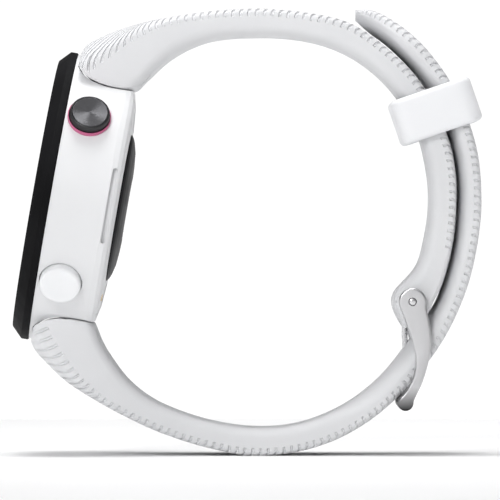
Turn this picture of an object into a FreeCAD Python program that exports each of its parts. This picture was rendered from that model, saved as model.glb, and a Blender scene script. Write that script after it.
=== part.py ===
import FreeCAD, Part
import math, os
from FreeCAD import Vector as V

os.makedirs("parts", exist_ok=True)

# A round sports watch on a fastened silicone strap, standing on the bottom of its strap.
# World frame: the closed strap loop lies in the XZ plane, Z up, Y across the strap.
# The head faces -X and leans back by HEAD_TILT. Its own frame is: x to three o'clock
# (world -Y), y to twelve o'clock, z out through the lens, z = 0 at the bezel's rear plane.

# ---------------------------------------------------------------- driving dimensions (mm)
HEAD_TILT = 9.94            # degrees, lens turned upward from facing -X
HEAD_X, HEAD_Z = -26.09, 34.93
BEZEL_R = 19.7
BEZEL_FACE_R = 18.24
BEZEL_EDGE_H = 1.03
BEZEL_H = 2.45
BEZEL_BORE_R = 15.2
LENS_R = 16.5
LENS_T = 1.0
LENS_TOP = 2.35
DISPLAY_R = 14.6
CASE_R = 19.5
CASE_END = 15.7             # half length of the case between its two strap ends
FLANGE_T = 0.35
CAVITY_R = 17.2
CAVITY_END = 13.8
REAR_RECESS_R = 18.3
REAR_RECESS_END = 14.7
COVER_TOP = -7.65
BUTTON_ANGLE = 35.0
BUTTON_Z = -3.2
BUTTON_TRAVEL = 0.4
CAP_R_START = 2.7
CAP_R = 2.8
STEM_R = 0.8
STRAP_HALF = 10.0           # strap 20 mm wide
STRAP_ROOT_HALF = 11.85
BAR_Y, BAR_Z = 17.5, -6.2   # spring bar axis in the head frame (|y|, z)
BAR_R = 0.75
TIP_R = 0.4
RELEASE_TRAVEL = 1.3
PIN_X, PIN_Z, PIN_R = 22.34, 20.72, 0.5
BARREL_R = 2.67
ENDBAR_X, ENDBAR_Z, ENDBAR_R = 21.40, 7.12, 1.08
PLATE_IN, PLATE_OUT = 10.3, 11.7
HINGE_CLEAR = 0.05
TONGUE_W = 2.2
TONGUE_T = 0.76
TONGUE_LOOP_R = 1.18
FRAME_SWING = 3.0           # degrees the buckle bow and the tongue can each lift while fastened
KEEPER_X, KEEPER_Z = 25.54, 46.44
KEEPER_ANGLE = 18.9
KEEPER_ACROSS, KEEPER_ALONG = 11.3, 6.2
KEEPER_GAP = 9.0
KEEPER_HALF_IN, KEEPER_HALF_OUT = 10.3, 11.6
HOLE_PITCH = 5.8

S, C = math.sin(math.radians(HEAD_TILT)), math.cos(math.radians(HEAD_TILT))
HEAD = FreeCAD.Matrix(0, S, -C, HEAD_X,
                      -1, 0, 0, 0,
                      0, C, S, HEAD_Z,
                      0, 0, 0, 1)


def to_world(shape):
    s = shape.copy()
    s.Placement = FreeCAD.Placement(HEAD).multiply(s.Placement)
    return s


def xz(y, z):
    """Head-frame (y, z) to world (x, z)."""
    return (HEAD_X + S * y - C * z, HEAD_Z + C * y + S * z)


OUT = {}


def save(name, shape, head=False):
    if head:
        shape = to_world(shape)
    solids = shape.Solids
    if not solids:
        raise SystemExit(name + " has no solid")
    for s in solids:
        if not s.isValid() or s.Volume <= 0:
            raise SystemExit(name + " has a bad solid")
    keep = solids[0] if len(solids) == 1 else Part.makeCompound(solids)
    OUT[name] = keep
    keep.exportStep("parts/" + name + ".step")
    print(name, len(solids), round(sum(s.Volume for s in solids), 2))


def disc(r, z0, z1, x=0.0, y=0.0):
    return Part.makeCylinder(r, z1 - z0, V(x, y, z0), V(0, 0, 1))


def ring(ro, ri, z0, z1, x=0.0, y=0.0):
    return disc(ro, z0, z1, x, y).cut(disc(ri, z0 - 1, z1 + 1, x, y))


def block(x0, x1, y0, y1, z0, z1):
    return Part.makeBox(x1 - x0, y1 - y0, z1 - z0, V(x0, y0, z0))


def rounded(x0, x1, y0, y1, z0, z1, r):
    b = block(x0, x1, y0, y1, z0, z1)
    return b.makeFillet(r, [e for e in b.Edges if abs(e.tangentAt(0).z) > 0.9])


def revolve(points):
    """Turn a closed (r, z) outline about the z axis."""
    w = Part.makePolygon([V(r, 0, z) for r, z in points] + [V(points[0][0], 0, points[0][1])])
    return Part.Face(w).revolve(V(0, 0, 0), V(0, 0, 1), 360)


def prism_yz(points, half):
    """Outline in the head's (y, z) plane, pushed along its x from -half to half."""
    w = Part.makePolygon([V(-half, y, z) for y, z in points] + [V(-half, *points[0])])
    return Part.Face(w).extrude(V(2 * half, 0, 0))


def prism_xz(points, half, y0=None):
    """Outline in the world XZ plane, pushed along Y from -half to half."""
    w = Part.makePolygon([V(x, -half, z) for x, z in points] + [V(points[0][0], -half, points[0][1])])
    return Part.Face(w).extrude(V(0, 2 * half, 0))


def spline(points):
    c = Part.BSplineCurve()
    c.interpolate([V(x, 0, z) for x, z in points])
    return c.toShape()


def line(a, b):
    return Part.makeLine(V(a[0], 0, a[1]), V(b[0], 0, b[1]))


# ---------------------------------------------------------------- head: case and covers
# Side outline of the case: nearly straight ends, flared under the bezel, and a rear that
# bows slightly outwards between the ends.
CASE_SIDE_KNOTS = [(17.75, -0.42), (17.15, -0.95), (16.55, -1.75), (16.1, -2.8), (15.8, -4.2), (15.68, -5.6),
                   (15.68, -7.0), (15.74, -8.30)]


def fair(knots, count):
    """Evenly spaced points of a smooth curve through the knots."""
    c = Part.BSplineCurve()
    c.interpolate([V(a, 0, b) for a, b in knots])
    return [(round(p.x, 4), round(p.z, 4)) for p in c.discretize(count)]


CASE_SIDE = fair(CASE_SIDE_KNOTS, 18)
CASE_REAR = [(13.6, -8.72), (10.0, -8.98), (5.0, -9.0), (0.0, -8.98)]
half_outline = CASE_SIDE + CASE_REAR
outline = half_outline + [(-y, z) for y, z in reversed(half_outline[:-1])]

case_round = revolve([(0, -0.36), (CASE_R, -0.36), (CASE_R, -7.4), (19.38, -8.1), (19.05, -8.6),
                      (18.5, -8.9), (17.8, -9.02), (0, -9.02)])
housing = case_round.common(prism_yz([(17.75, -0.2)] + outline + [(-17.75, -0.2)], 30))
housing = housing.fuse(disc(CASE_R, -FLANGE_T - 0.05, 0))
cavity = disc(CAVITY_R, -7.35, -1.2).common(block(-30, 30, -CAVITY_END, CAVITY_END, -20, 5))
recess = disc(REAR_RECESS_R, -12, -7.35).common(block(-30, 30, -REAR_RECESS_END, REAR_RECESS_END, -20, 5))
front_hole = disc(15.05, -1.3, 1)
housing = housing.cut(cavity).cut(recess).cut(front_hole)

# Screw posts
SCREWS = [(9.5, 12.0), (-9.5, 12.0), (9.5, -12.0), (-9.5, -12.0)]
for x, y in SCREWS:
    post = disc(1.75, -7.35, -1.15, x, y).fuse(block(x - 1.2, x + 1.2, min(y, y + math.copysign(2.2, y)), max(y, y + math.copysign(2.2, y)), -7.35, -1.15))
    housing = housing.fuse(post)
for x, y in SCREWS:
    housing = housing.cut(disc(0.55, -8, -4.6, x, y))

# Buttons: name, angle from three o'clock, cap radius, how far the face stands from the axis
BUTTONS = [("start", BUTTON_ANGLE, CAP_R_START, 20.80),
           ("back", -BUTTON_ANGLE, CAP_R, 20.50),
           ("light", 180 - BUTTON_ANGLE, CAP_R, 20.50),
           ("up", 180.0, CAP_R, 20.25),
           ("down", 180 + BUTTON_ANGLE, CAP_R, 20.50)]


def radial(shape, angle):
    """Bring a shape built along +x at y = 0 to a button's place."""
    s = shape.copy()
    s.translate(V(0, 0, BUTTON_Z))
    s.rotate(V(0, 0, 0), V(0, 0, 1), angle)
    return s


def rcyl(r, s0, s1):
    return Part.makeCylinder(r, s1 - s0, V(s0, 0, 0), V(1, 0, 0))


for name, ang, cap_r, face in BUTTONS:
    boss = Part.makeBox(3.0, 5.4, 3.6, V(15.5, -2.7, -1.8))
    boss = radial(boss, ang).common(disc(CAVITY_R + 0.6, -9, -1.0)).common(
        block(-30, 30, -CAVITY_END - 0.3, CAVITY_END + 0.3, -20, 5))
    housing = housing.fuse(boss)
for name, ang, cap_r, face in BUTTONS:
    bores = rcyl(cap_r + 0.12, 18.1, 25).fuse(rcyl(1.3, 16.4, 18.2)).fuse(rcyl(STEM_R + HINGE_CLEAR, 15.0, 16.5))
    housing = housing.cut(radial(bores, ang))

# Finger scoop for the charging clip on the three o'clock side
scoop = Part.makeBox(2.0, 9.5, 0.7, V(18.0, -4.75, -8.25)).fuse(
    Part.makeCylinder(0.35, 2.0, V(18.0, -4.75, -7.9), V(1, 0, 0))).fuse(
    Part.makeCylinder(0.35, 2.0, V(18.0, 4.75, -7.9), V(1, 0, 0)))
scoop = scoop.cut(disc(18.74, -10, -6))
housing = housing.cut(scoop)

# Horns that carry the spring bars, hidden in pockets of the strap roots
for sy in (1, -1):
    for sx in (1, -1):
        x0, x1 = sorted((sx * 8.7, sx * 10.3))
        y0, y1 = sorted((sy * 15.2, sy * BAR_Y))
        horn = block(x0, x1, y0, y1, -7.7, -4.7).fuse(
            Part.makeCylinder(1.5, x1 - x0, V(x0, sy * BAR_Y, BAR_Z), V(1, 0, 0)))
        horn = horn.cut(Part.makeCylinder(TIP_R + HINGE_CLEAR, 4, V(min(x0, x1) - 1, sy * BAR_Y, BAR_Z), V(1, 0, 0)))
        housing = housing.fuse(horn)
housing = housing.removeSplitter()
save("main_housing", housing, True)

# Bezel: turned ring with an upright edge, a conical facet and a seat for the lens
bezel = revolve([(BEZEL_BORE_R, 0.01), (BEZEL_R - 0.15, 0.01), (BEZEL_R, 0.16), (BEZEL_R, BEZEL_EDGE_H),
                 (BEZEL_FACE_R, BEZEL_H), (LENS_R + 0.12, BEZEL_H), (LENS_R + 0.05, 2.38),
                 (LENS_R + 0.05, 1.15), (BEZEL_BORE_R, 1.15)])
save("bezel", bezel, True)
save("lens_gasket", ring(LENS_R, 15.5, 1.15, LENS_TOP - LENS_T), True)
lens = revolve([(0, LENS_TOP - LENS_T), (LENS_R, LENS_TOP - LENS_T), (LENS_R, LENS_TOP - 0.2),
                (LENS_R - 0.3, LENS_TOP), (0, LENS_TOP)])
save("lens", lens, True)
save("display_panel", disc(DISPLAY_R, 0.15, 1.12), True)
save("backlight_frame", disc(14.95, -0.5, 0.15).fuse(ring(14.95, 14.65, -0.5, 0.9)), True)

# Electronics
save("gps_antenna", rounded(-4.5, 4.5, 3.6, 12.4, -1.5, -0.55, 0.8), True)
board = disc(13.9, -2.3, -1.5).common(block(-30, 30, -13.4, 13.4, -3, 0))
for x, y in SCREWS:
    board = board.cut(disc(2.1, -3, 0, x, y))
save("main_board", board, True)
save("board_shield", rounded(-8.0, 1.5, -6.5, 2.5, -3.5, -2.3, 0.6), True)
save("battery", rounded(-9.0, 9.0, -7.6, 7.6, -7.15, -4.25, 1.6), True)
tray = rounded(-9.65, 9.65, -8.25, 8.25, -7.5, -4.2, 2.0).cut(rounded(-9.1, 9.1, -7.7, 7.7, -7.2, -4.0, 1.6))
save("battery_tray", tray, True)
motor = Part.makeCylinder(1.9, 6.4, V(-3.4, -11.2, -5.1), V(1, 0, 0)).fuse(
    Part.makeCylinder(0.4, 3.6, V(2.8, -11.2, -5.1), V(1, 0, 0)))
weight = Part.makeCylinder(1.6, 2.2, V(3.6, -11.2, -5.1), V(1, 0, 0)).cut(block(3.0, 7.0, -13.0, -9.0, -5.1, -2.0))
save("vibration_motor", motor.fuse(weight), True)
save("buzzer", disc(2.4, -6.6, -5.4, 0, 11.1).fuse(disc(1.7, -6.9, -6.5, 0, 11.1)), True)

# Switches stand on the rear face of the board, one behind each button
switches = []
for name, ang, cap_r, face in BUTTONS:
    body = Part.makeBox(1.5, 3.0, 1.7, V(12.2, -1.5, -0.8)).fuse(rcyl(0.55, 13.6, 13.85))
    switches.append(radial(body, ang))
save("button_switches", Part.makeCompound(switches), True)

# Button caps with stems, their seals and clips
for name, ang, cap_r, face in BUTTONS:
    cap = rcyl(cap_r, 18.62, face)
    cap = cap.makeChamfer(0.22, [e for e in cap.Edges if abs(e.CenterOfMass.x - face) < 1e-3 and e.Length > 5])
    if name == "start":
        cap = cap.cut(rcyl(2.42, face - 0.25, face + 1))
    stem = rcyl(STEM_R, 14.3, 18.8).cut(rcyl(1.2, 15.02, 15.42).cut(rcyl(0.55, 15.0, 15.5)))
    save(name + "_button", radial(cap.fuse(stem), ang), True)
    seal = rcyl(1.25, 16.95, 17.5).cut(rcyl(STEM_R + 0.01, 16, 18))
    save(name + "_button_seal", radial(seal, ang), True)
    clip = rcyl(1.45, 15.04, 15.40).cut(rcyl(0.57, 15, 16)).cut(Part.makeBox(2, 0.9, 2, V(14.5, -0.45, -2)))
    save(name + "_button_clip", radial(clip, ang), True)
    if name == "start":
        save("start_button_face", radial(rcyl(2.40, face - 0.24, face + 0.04), ang), True)

# Accent ring round the start button, seated on the case
accent = rcyl(2.93, 19.0, 19.90).cut(rcyl(CAP_R_START + 0.12, 18.0, 21))
accent = radial(accent, BUTTON_ANGLE)
solid_case = Part.makeCylinder(CASE_R + 0.02, 12, V(0, 0, -10), V(0, 0, 1))
accent = accent.cut(solid_case)
save("button_accent_ring", accent.Solids[0] if len(accent.Solids) == 1 else Part.makeCompound(accent.Solids), True)

# Back cover, its gasket and screws
cover = disc(REAR_RECESS_R - 0.06, -12, COVER_TOP).common(
    block(-30, 30, -REAR_RECESS_END + 0.06, REAR_RECESS_END - 0.06, -20, 5)).common(
    prism_yz([(14.7, -5)] + [(14.7, -8.47), (13.6, -8.67), (10.0, -8.9), (-10.0, -8.9), (-13.6, -8.67), (-14.7, -8.47), (-14.7, -5)], 30))
cover = cover.cut(disc(9.25, -12, 0))
CONTACTS = [(x, -12.3) for x in (-3.3, -1.1, 1.1, 3.3)]
for x, y in SCREWS:
    cover = cover.cut(disc(0.75, -12, 0, x, y)).cut(disc(1.3, -12, -8.1, x, y))
for x, y in CONTACTS:
    cover = cover.cut(disc(0.56, -12, 0, x, y))
save("back_cover", cover, True)
gasket = disc(18.1, COVER_TOP, -7.35).common(block(-30, 30, -14.5, 14.5, -20, 5)).cut(
    disc(17.35, -9, 0).common(block(-30, 30, -13.95, 13.95, -20, 5)))
save("back_cover_gasket", gasket, True)
screws = []
for x, y in SCREWS:
    screws.append(disc(1.2, -8.6, -8.1, x, y).fuse(disc(0.5, -8.2, -5.0, x, y)).cut(disc(0.45, -9, -8.4, x, y)))
save("back_cover_screws", Part.makeCompound(screws), True)
save("charge_contacts", Part.makeCompound([disc(0.55, -8.78, -7.45, x, y) for x, y in CONTACTS]), True)

# Optical sensor on the back
sensor = revolve([(6.2, -7.8), (9.2, -7.8), (9.2, -8.92), (10.0, -8.92), (10.0, -9.06), (9.6, -9.34), (9.0, -9.58),
                  (7.7, -9.90), (6.0, -10.06), (4.3, -10.13), (4.3, -9.35), (6.2, -9.35)])
save("sensor_housing", sensor, True)
save("sensor_window", revolve([(0, -9.37), (4.27, -9.37), (4.27, -10.13), (2.0, -10.17), (0, -10.17)]), True)
save("sensor_board", disc(6.1, -8.45, -7.95), True)
leds = [rounded(-0.9, 0.9, 1.0, 2.8, -9.2, -8.45, 0.2), rounded(-0.9, 0.9, -2.8, -1.0, -9.2, -8.45, 0.2),
        rounded(1.5, 3.1, -0.8, 0.8, -9.2, -8.45, 0.2), rounded(-3.1, -1.5, -0.8, 0.8, -9.2, -8.45, 0.2)]
save("sensor_leds", Part.makeCompound(leds), True)

# ---------------------------------------------------------------- spring bars
for sy, tag in ((1, "upper"), (-1, "lower")):
    def along(r, x0, x1):
        return Part.makeCylinder(r, x1 - x0, V(x0, sy * BAR_Y, BAR_Z), V(1, 0, 0))
    tube = along(BAR_R, -8.4, 8.4).cut(along(0.46, -8.0, 9.0)).cut(
        block(4.3, 6.7, sy * BAR_Y - 0.42, sy * BAR_Y + 0.42, -8.0, BAR_Z))
    save(tag + "_bar_tube", tube, True)
    save(tag + "_bar_tip", along(TIP_R, -9.95, -8.4), True)
    rod = along(TIP_R, 5.6, 9.95)
    lever = Part.makeCylinder(0.35, 2.35, V(6.2, sy * BAR_Y, BAR_Z - 2.35), V(0, 0, 1)).fuse(
        block(5.75, 6.65, sy * BAR_Y - 0.42, sy * BAR_Y + 0.42, BAR_Z - 2.6, BAR_Z - 1.35))
    save(tag + "_release_pin", rod.fuse(lever), True)
    helix = Part.makeHelix(0.95, 11.4, 0.33)
    prof = Part.Wire(Part.makeCircle(0.07, V(0.33, 0, 0), V(0, 1, 0)))
    coil = Part.Wire(helix).makePipeShell([prof], True, True)
    coil.rotate(V(0, 0, 0), V(0, 1, 0), 90)
    coil.translate(V(-7.1 + 1.0, sy * BAR_Y, BAR_Z))
    save(tag + "_bar_spring", coil, True)

# ---------------------------------------------------------------- straps
UPPER_OUTER = [(-22.28, 54.73), (-21.73, 55.16), (-20.42, 55.95), (-18.75, 56.75), (-17.18, 57.37), (-15.82, 57.83),
               (-13.94, 58.32), (-12.74, 58.57), (-9.76, 59.09), (-6.94, 59.54), (-4.17, 59.88), (-1.45, 60.08),
               (1.21, 60.18), (3.89, 60.08), (6.54, 59.84), (9.16, 59.47), (11.79, 58.95), (14.55, 57.95),
               (17.81, 55.8), (19.96, 54.01), (22.12, 51.85), (23.96, 49.45), (25.62, 46.55), (26.92, 43.42),
               (27.92, 39.76), (28.29, 35.64), (28.10, 31.31), (27.60, 27.55), (27.1, 25.55), (26.44, 23.3)]
UPPER_INNER = [(-15.0, 49.12), (-14.21, 49.88), (-12.96, 51.1), (-12.24, 51.82), (-9.96, 53.72),
               (-7.44, 55.12), (-4.66, 56.06), (-1.79, 56.44), (1.07, 56.55), (3.89, 56.53), (6.69, 56.27),
               (9.43, 55.75), (12.07, 54.89), (14.55, 53.64), (16.8, 52.08), (18.8, 50.23), (20.51, 48.19),
               (22.34, 45.34), (23.65, 42.12), (24.37, 38.82), (24.70, 36.46), (24.75, 34.14), (24.6, 31.88),
               (24.23, 29.71), (23.79, 27.62), (23.12, 25.63), (21.94, 24.1)]
LOWER_OUTER = [(-29.4, 15.35), (-28.74, 14.6), (-26.91, 12.54), (-24.96, 10.59), (-22.76, 8.75), (-20.59, 7.66),
               (-19.35, 6.93), (-16.09, 5.19), (-12.85, 3.65), (-9.61, 2.39), (-6.37, 1.38), (-3.13, 0.58),
               (-0.8, 0.12), (1.2, 0.0), (3.75, 0.08), (5.91, 0.33), (8.07, 0.78), (10.23, 1.42), (12.4, 2.28), (14.55, 3.40),
               (16.72, 4.80), (18.84, 6.45), (21.03, 8.58), (22.12, 9.80), (24.92, 13.2), (26.44, 15.45),
               (27.96, 18.27), (29.27, 21.31), (30.34, 24.65), (30.99, 27.68), (31.35, 29.91), (31.64, 32.73),
               (31.65, 35.61), (31.46, 38.67), (30.96, 41.66), (30.2, 44.29), (29.0, 47.4), (27.42, 50.45), (25.4, 53.35),
               (23.07, 56.0), (20.36, 58.21), (17.37, 59.95), (16.2, 60.32), (15.2, 60.45)]
LOWER_INNER = [(15.2, 58.34), (16.3, 57.40), (18.2, 56.05), (20.20, 54.38), (22.36, 52.20), (24.23, 49.75), (25.87, 46.90),
               (27.22, 43.64), (28.2, 39.99), (28.57, 35.68), (28.39, 31.30), (27.90, 27.60), (26.75, 23.47), (25.15, 19.70),
               (23.93, 18.08), (22.61, 16.30), (21.13, 14.2), (19.68, 12.28), (17.98, 10.42), (16.03, 8.69),
               (13.94, 7.15), (11.65, 5.86), (9.18, 4.84), (6.59, 4.1), (3.89, 3.74), (1.16, 3.69), (-1.58, 3.92),
               (-4.32, 4.41), (-7.05, 5.13), (-9.75, 6.07), (-12.4, 7.28), (-14.82, 8.95), (-16.87, 11.02),
               (-18.45, 13.27), (-19.56, 15.05), (-20.1, 16.5)]
GAP = 0.12
offset_side = [(y + GAP, z) for y, z in CASE_SIDE]
part_up = [xz(19.80, -0.46), xz(17.98, -0.50)] + [xz(y, z) for y, z in offset_side[1:]]
part_dn = [xz(-19.80, -0.46), xz(-17.98, -0.50)] + [xz(-y, z) for y, z in offset_side[1:]]


def chain(points):
    return [line(a, b) for a, b in zip(points[:-1], points[1:])]


def band(edges):
    w = Part.Wire(Part.__sortEdges__(edges))
    f = Part.Face(w)
    s = f.extrude(V(0, 2 * 12.2, 0))
    s.translate(V(0, -12.2, 0))
    return s


# Plan outline: 20 mm wide, flaring to the case width towards the roots
plan_half = [(-40, 11.85), (-22.5, 11.85), (-18.0, 11.75), (-13.0, 11.2), (-8.0, 10.55), (-3.0, 10.15), (2.0, 10.0), (40, 10.0)]
plan = [(x, -h) for x, h in plan_half] + [(x, h) for x, h in reversed(plan_half)]
pw = Part.makePolygon([V(x, y, -5) for x, y in plan] + [V(plan[0][0], plan[0][1], -5)])
plan_prism = Part.Face(pw).extrude(V(0, 0, 80))

pin_c = (PIN_X, PIN_Z)
ang_out = math.atan2(23.3 - PIN_Z, 26.44 - PIN_X)


def on_barrel(deg, r=BARREL_R):
    a = math.radians(deg)
    return (PIN_X + r * math.cos(a), PIN_Z + r * math.sin(a))


# upper strap: the outer face runs into a barrel round the buckle pin
tan_out = on_barrel(-8)
tan_in = on_barrel(128)
arc = Part.Arc(V(tan_out[0], 0, tan_out[1]), V(*[on_barrel(-120)[0], 0, on_barrel(-120)[1]]),
               V(tan_in[0], 0, tan_in[1])).toShape()
uo = [part_up[0]] + UPPER_OUTER[1:]
ui = [part_up[-1]] + UPPER_INNER
edges = [spline(uo + [(25.85, 21.9), tan_out]), arc, spline(ui + [tan_in])] + chain(part_up)
strap_upper = band(edges)
tail = prism_xz([on_barrel(198, 2.6), (20.2, 19.0), (20.75, 18.15), (21.15, 17.25), (21.55, 17.15), (22.2, 17.9), on_barrel(-75, 2.5), pin_c], 12.2)
strap_upper = strap_upper.fuse(tail).common(plan_prism)

edges = [spline([part_dn[0]] + LOWER_OUTER[1:]), spline(LOWER_INNER + [(-20.38, 17.25), part_dn[-1]])] + chain(part_dn)
tip = Part.Arc(V(15.2, 0, 60.45), V(14.62, 0, 59.42), V(15.2, 0, 58.34)).toShape()
edges.append(tip)
strap_lower = band(edges).common(plan_prism)
# the tip is rounded in plan
tip_round = Part.makeBox(13.6, 40, 14, V(11, -20, 48.6))
tip_keep = Part.makeCylinder(10.0, 30, V(24.6, 0, 40), V(0, 0, 1)).fuse(Part.makeBox(30, 40, 60, V(24.6, -20, 30)))
strap_lower = strap_lower.cut(tip_round.cut(tip_keep))

# pockets for the horns, bores for the bars, release-lever windows
for sy, tag in ((1, "upper"), (-1, "lower")):
    cuts = []
    for sx in (1, -1):
        x0, x1 = sorted((sx * 8.5, sx * 10.5))
        y0, y1 = sorted((sy * 15.0, sy * (BAR_Y)))
        cuts.append(block(x0, x1, y0, y1, -7.9, -4.5).fuse(
            Part.makeCylinder(1.7, x1 - x0, V(x0, sy * BAR_Y, BAR_Z), V(1, 0, 0))))
    cuts.append(Part.makeCylinder(BAR_R + 0.05, 18, V(-9, sy * BAR_Y, BAR_Z), V(1, 0, 0)))
    cuts.append(block(4.1, 7.1, sy * BAR_Y - 0.8, sy * BAR_Y + 0.8, -11.5, BAR_Z))
    for c in cuts:
        c = to_world(c)
        if sy > 0:
            strap_upper = strap_upper.cut(c)
        else:
            strap_lower = strap_lower.cut(c)

# buckle pin bore and the slot that lets the tongue turn round the pin
strap_upper = strap_upper.cut(Part.makeCylinder(PIN_R + 0.03, 30, V(PIN_X, -15, PIN_Z), V(0, 1, 0)))
strap_upper = strap_upper.cut(Part.makeBox(9, 2 * 1.4, 6.2, V(PIN_X - 5, -1.4, PIN_Z - 4.6)))

# tongue: loop round the pin, then a gently bowed bar that passes the lower strap
TONGUE_PATH = [(22.05, 20.25), (21.60, 19.2), (21.45, 18.0), (21.44, 16.15), (21.59, 13.71), (21.86, 11.4), (22.10, 9.3), (22.10, 8.0), (21.85, 6.95)]


def offset_path(path, d):
    out = []
    for i, (x, z) in enumerate(path):
        a = path[max(i - 1, 0)]
        b = path[min(i + 1, len(path) - 1)]
        tx, tz = b[0] - a[0], b[1] - a[1]
        n = math.hypot(tx, tz)
        out.append((x - tz / n * d, z + tx / n * d))
    return out


def tongue_outline(extra=0.0):
    taper = [0.9, 1, 1, 1, 1, 1, 1, 0.95, 0.75]
    left, right = [], []
    l_, r_ = offset_path(TONGUE_PATH, TONGUE_T / 2 + extra), offset_path(TONGUE_PATH, -(TONGUE_T / 2 + extra))
    for (p, a, b, t) in zip(TONGUE_PATH, l_, r_, taper):
        left.append((p[0] + (a[0] - p[0]) * t, p[1] + (a[1] - p[1]) * t))
        right.append((p[0] + (b[0] - p[0]) * t, p[1] + (b[1] - p[1]) * t))
    return left + right[::-1]


def turned(shape, deg):
    s = shape.copy()
    s.rotate(V(PIN_X, 0, PIN_Z), V(0, 1, 0), deg)
    return s


tongue = prism_xz(tongue_outline(), TONGUE_W / 2).fuse(
    Part.makeCylinder(TONGUE_LOOP_R, TONGUE_W, V(PIN_X, -TONGUE_W / 2, PIN_Z), V(0, 1, 0)))
tongue = tongue.cut(Part.makeCylinder(PIN_R + HINGE_CLEAR, 10, V(PIN_X, -5, PIN_Z), V(0, 1, 0)))
save("buckle_tongue", tongue)

# holes in the lower strap, centred between its faces
import bisect


def arc_points(points):
    c = Part.BSplineCurve()
    c.interpolate([V(x, 0, z) for x, z in points])
    return c


outer_c, inner_c = arc_points(LOWER_OUTER), arc_points(LOWER_INNER[::-1])
oe = outer_c.toShape()
n_mid = 240
mids = []
for i in range(n_mid + 1):
    u = outer_c.FirstParameter + (outer_c.LastParameter - outer_c.FirstParameter) * i / n_mid
    p = outer_c.value(u)
    t = outer_c.tangent(u)[0]
    nrm = V(-t.z, 0, t.x)
    mids.append((p.x, p.z, t.x, t.z))
lengths = [0.0]
for a, b in zip(mids[:-1], mids[1:]):
    lengths.append(lengths[-1] + math.hypot(b[0] - a[0], b[1] - a[1]))
TONGUE_HOLE = (22.0, 9.5)
i0 = min(range(len(mids)), key=lambda i: math.hypot(mids[i][0] - TONGUE_HOLE[0], mids[i][1] - TONGUE_HOLE[1]))
s0 = lengths[i0]
hole_at = []
k = -4
while True:
    s = s0 + k * HOLE_PITCH
    if s > lengths[-1] - 9.0:
        break
    if k != 0:
        hole_at.append(s)
    k += 1
for s in hole_at:
    i = min(bisect.bisect(lengths, s), len(mids) - 1)
    x, z, tx, tz = mids[i]
    hx = 1.15
    slot = Part.makeBox(1.2, 2 * hx, 9, V(-0.6, -hx, -4.5)).fuse(
        Part.makeCylinder(hx, 9, V(0.6, 0, -4.5), V(0, 0, 1))).fuse(Part.makeCylinder(hx, 9, V(-0.6, 0, -4.5), V(0, 0, 1)))
    slot.rotate(V(0, 0, 0), V(0, 1, 0), -math.degrees(math.atan2(tz, tx)))
    slot.translate(V(x, 0, z))
    strap_lower = strap_lower.cut(slot)
print("holes", len(hole_at) + 1, [round(s - s0, 1) for s in hole_at], "length", round(lengths[-1], 1))
# the hole in use is slanted so that the tongue passes it and can lift
swept = prism_xz(tongue_outline(0.22), TONGUE_W / 2 + 0.2)
for d in (-1.5, -3.0, -4.5, -6.0):
    strap_lower = strap_lower.cut(turned(swept, d))
strap_lower = strap_lower.cut(swept)
strap_lower = strap_lower.cut(turned(swept, 0.6))
save("strap_upper", strap_upper)
save("strap_lower", strap_lower)

# ---------------------------------------------------------------- buckle bow and pin
FRAME_LEFT = [(20.72, 19.8), (21.2, 18.6), (21.6, 17.4), (21.96, 16.41), (22.46, 14.83), (22.70, 13.71), (22.77, 12.58),
              (22.69, 11.69), (22.46, 10.67), (22.06, 9.78), (21.51, 8.76), (20.83, 7.95)]
FRAME_RIGHT = [(24.14, 20.3), (24.30, 19.5), (24.53, 18.4), (24.76, 17.09), (24.84, 15.51), (24.71, 13.94), (24.42, 12.37), (24.05, 11.01),
               (23.53, 9.56), (22.90, 8.31), (22.45, 7.35), (22.10, 6.60)]
bow = []
for sy in (1, -1):
    y0 = PLATE_IN if sy > 0 else -PLATE_OUT
    pts = FRAME_LEFT + [(20.45, 7.6), (20.42, 6.8), (20.95, 6.20)] + FRAME_RIGHT[::-1]
    w = Part.makePolygon([V(x, y0, z) for x, z in pts] + [V(pts[0][0], y0, pts[0][1])])
    plate = Part.Face(w).extrude(V(0, PLATE_OUT - PLATE_IN, 0))
    plate = plate.fuse(Part.makeCylinder(1.88, PLATE_OUT - PLATE_IN, V(PIN_X, y0, PIN_Z), V(0, 1, 0)))
    plate = plate.fuse(Part.makeCylinder(ENDBAR_R, PLATE_OUT - PLATE_IN, V(ENDBAR_X, y0, ENDBAR_Z), V(0, 1, 0)))
    bow.append(plate)
frame = bow[0].fuse(bow[1]).fuse(Part.makeCylinder(ENDBAR_R, 2 * PLATE_OUT, V(ENDBAR_X, -PLATE_OUT, ENDBAR_Z), V(0, 1, 0)))
frame = frame.cut(Part.makeCylinder(PIN_R + HINGE_CLEAR, 30, V(PIN_X, -15, PIN_Z), V(0, 1, 0)))
notch = prism_xz(tongue_outline(0.12), TONGUE_W / 2 + 0.2)
frame = frame.cut(notch)
for d in (-1.5, -3.0):
    frame = frame.cut(turned(notch, d))
save("buckle_frame", frame)
save("buckle_pin", Part.makeCylinder(PIN_R, 2 * PLATE_OUT, V(PIN_X, -PLATE_OUT, PIN_Z), V(0, 1, 0)))

# ---------------------------------------------------------------- keeper
def loop_box(ax, al, hy, r):
    b = Part.makeBox(ax, 2 * hy, al, V(-ax / 2, -hy, -al / 2))
    es = [e for e in b.Edges if abs(e.tangentAt(0).z) > 0.9]
    return b.makeFillet(r, es)


keeper = loop_box(KEEPER_ACROSS, KEEPER_ALONG, KEEPER_HALF_OUT, 2.0).cut(
    loop_box(KEEPER_GAP, KEEPER_ALONG + 4, KEEPER_HALF_IN, 0.45))
keeper.rotate(V(0, 0, 0), V(0, 1, 0), -KEEPER_ANGLE)
keeper.translate(V(KEEPER_X, 0, KEEPER_Z))
save("keeper", keeper)

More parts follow.
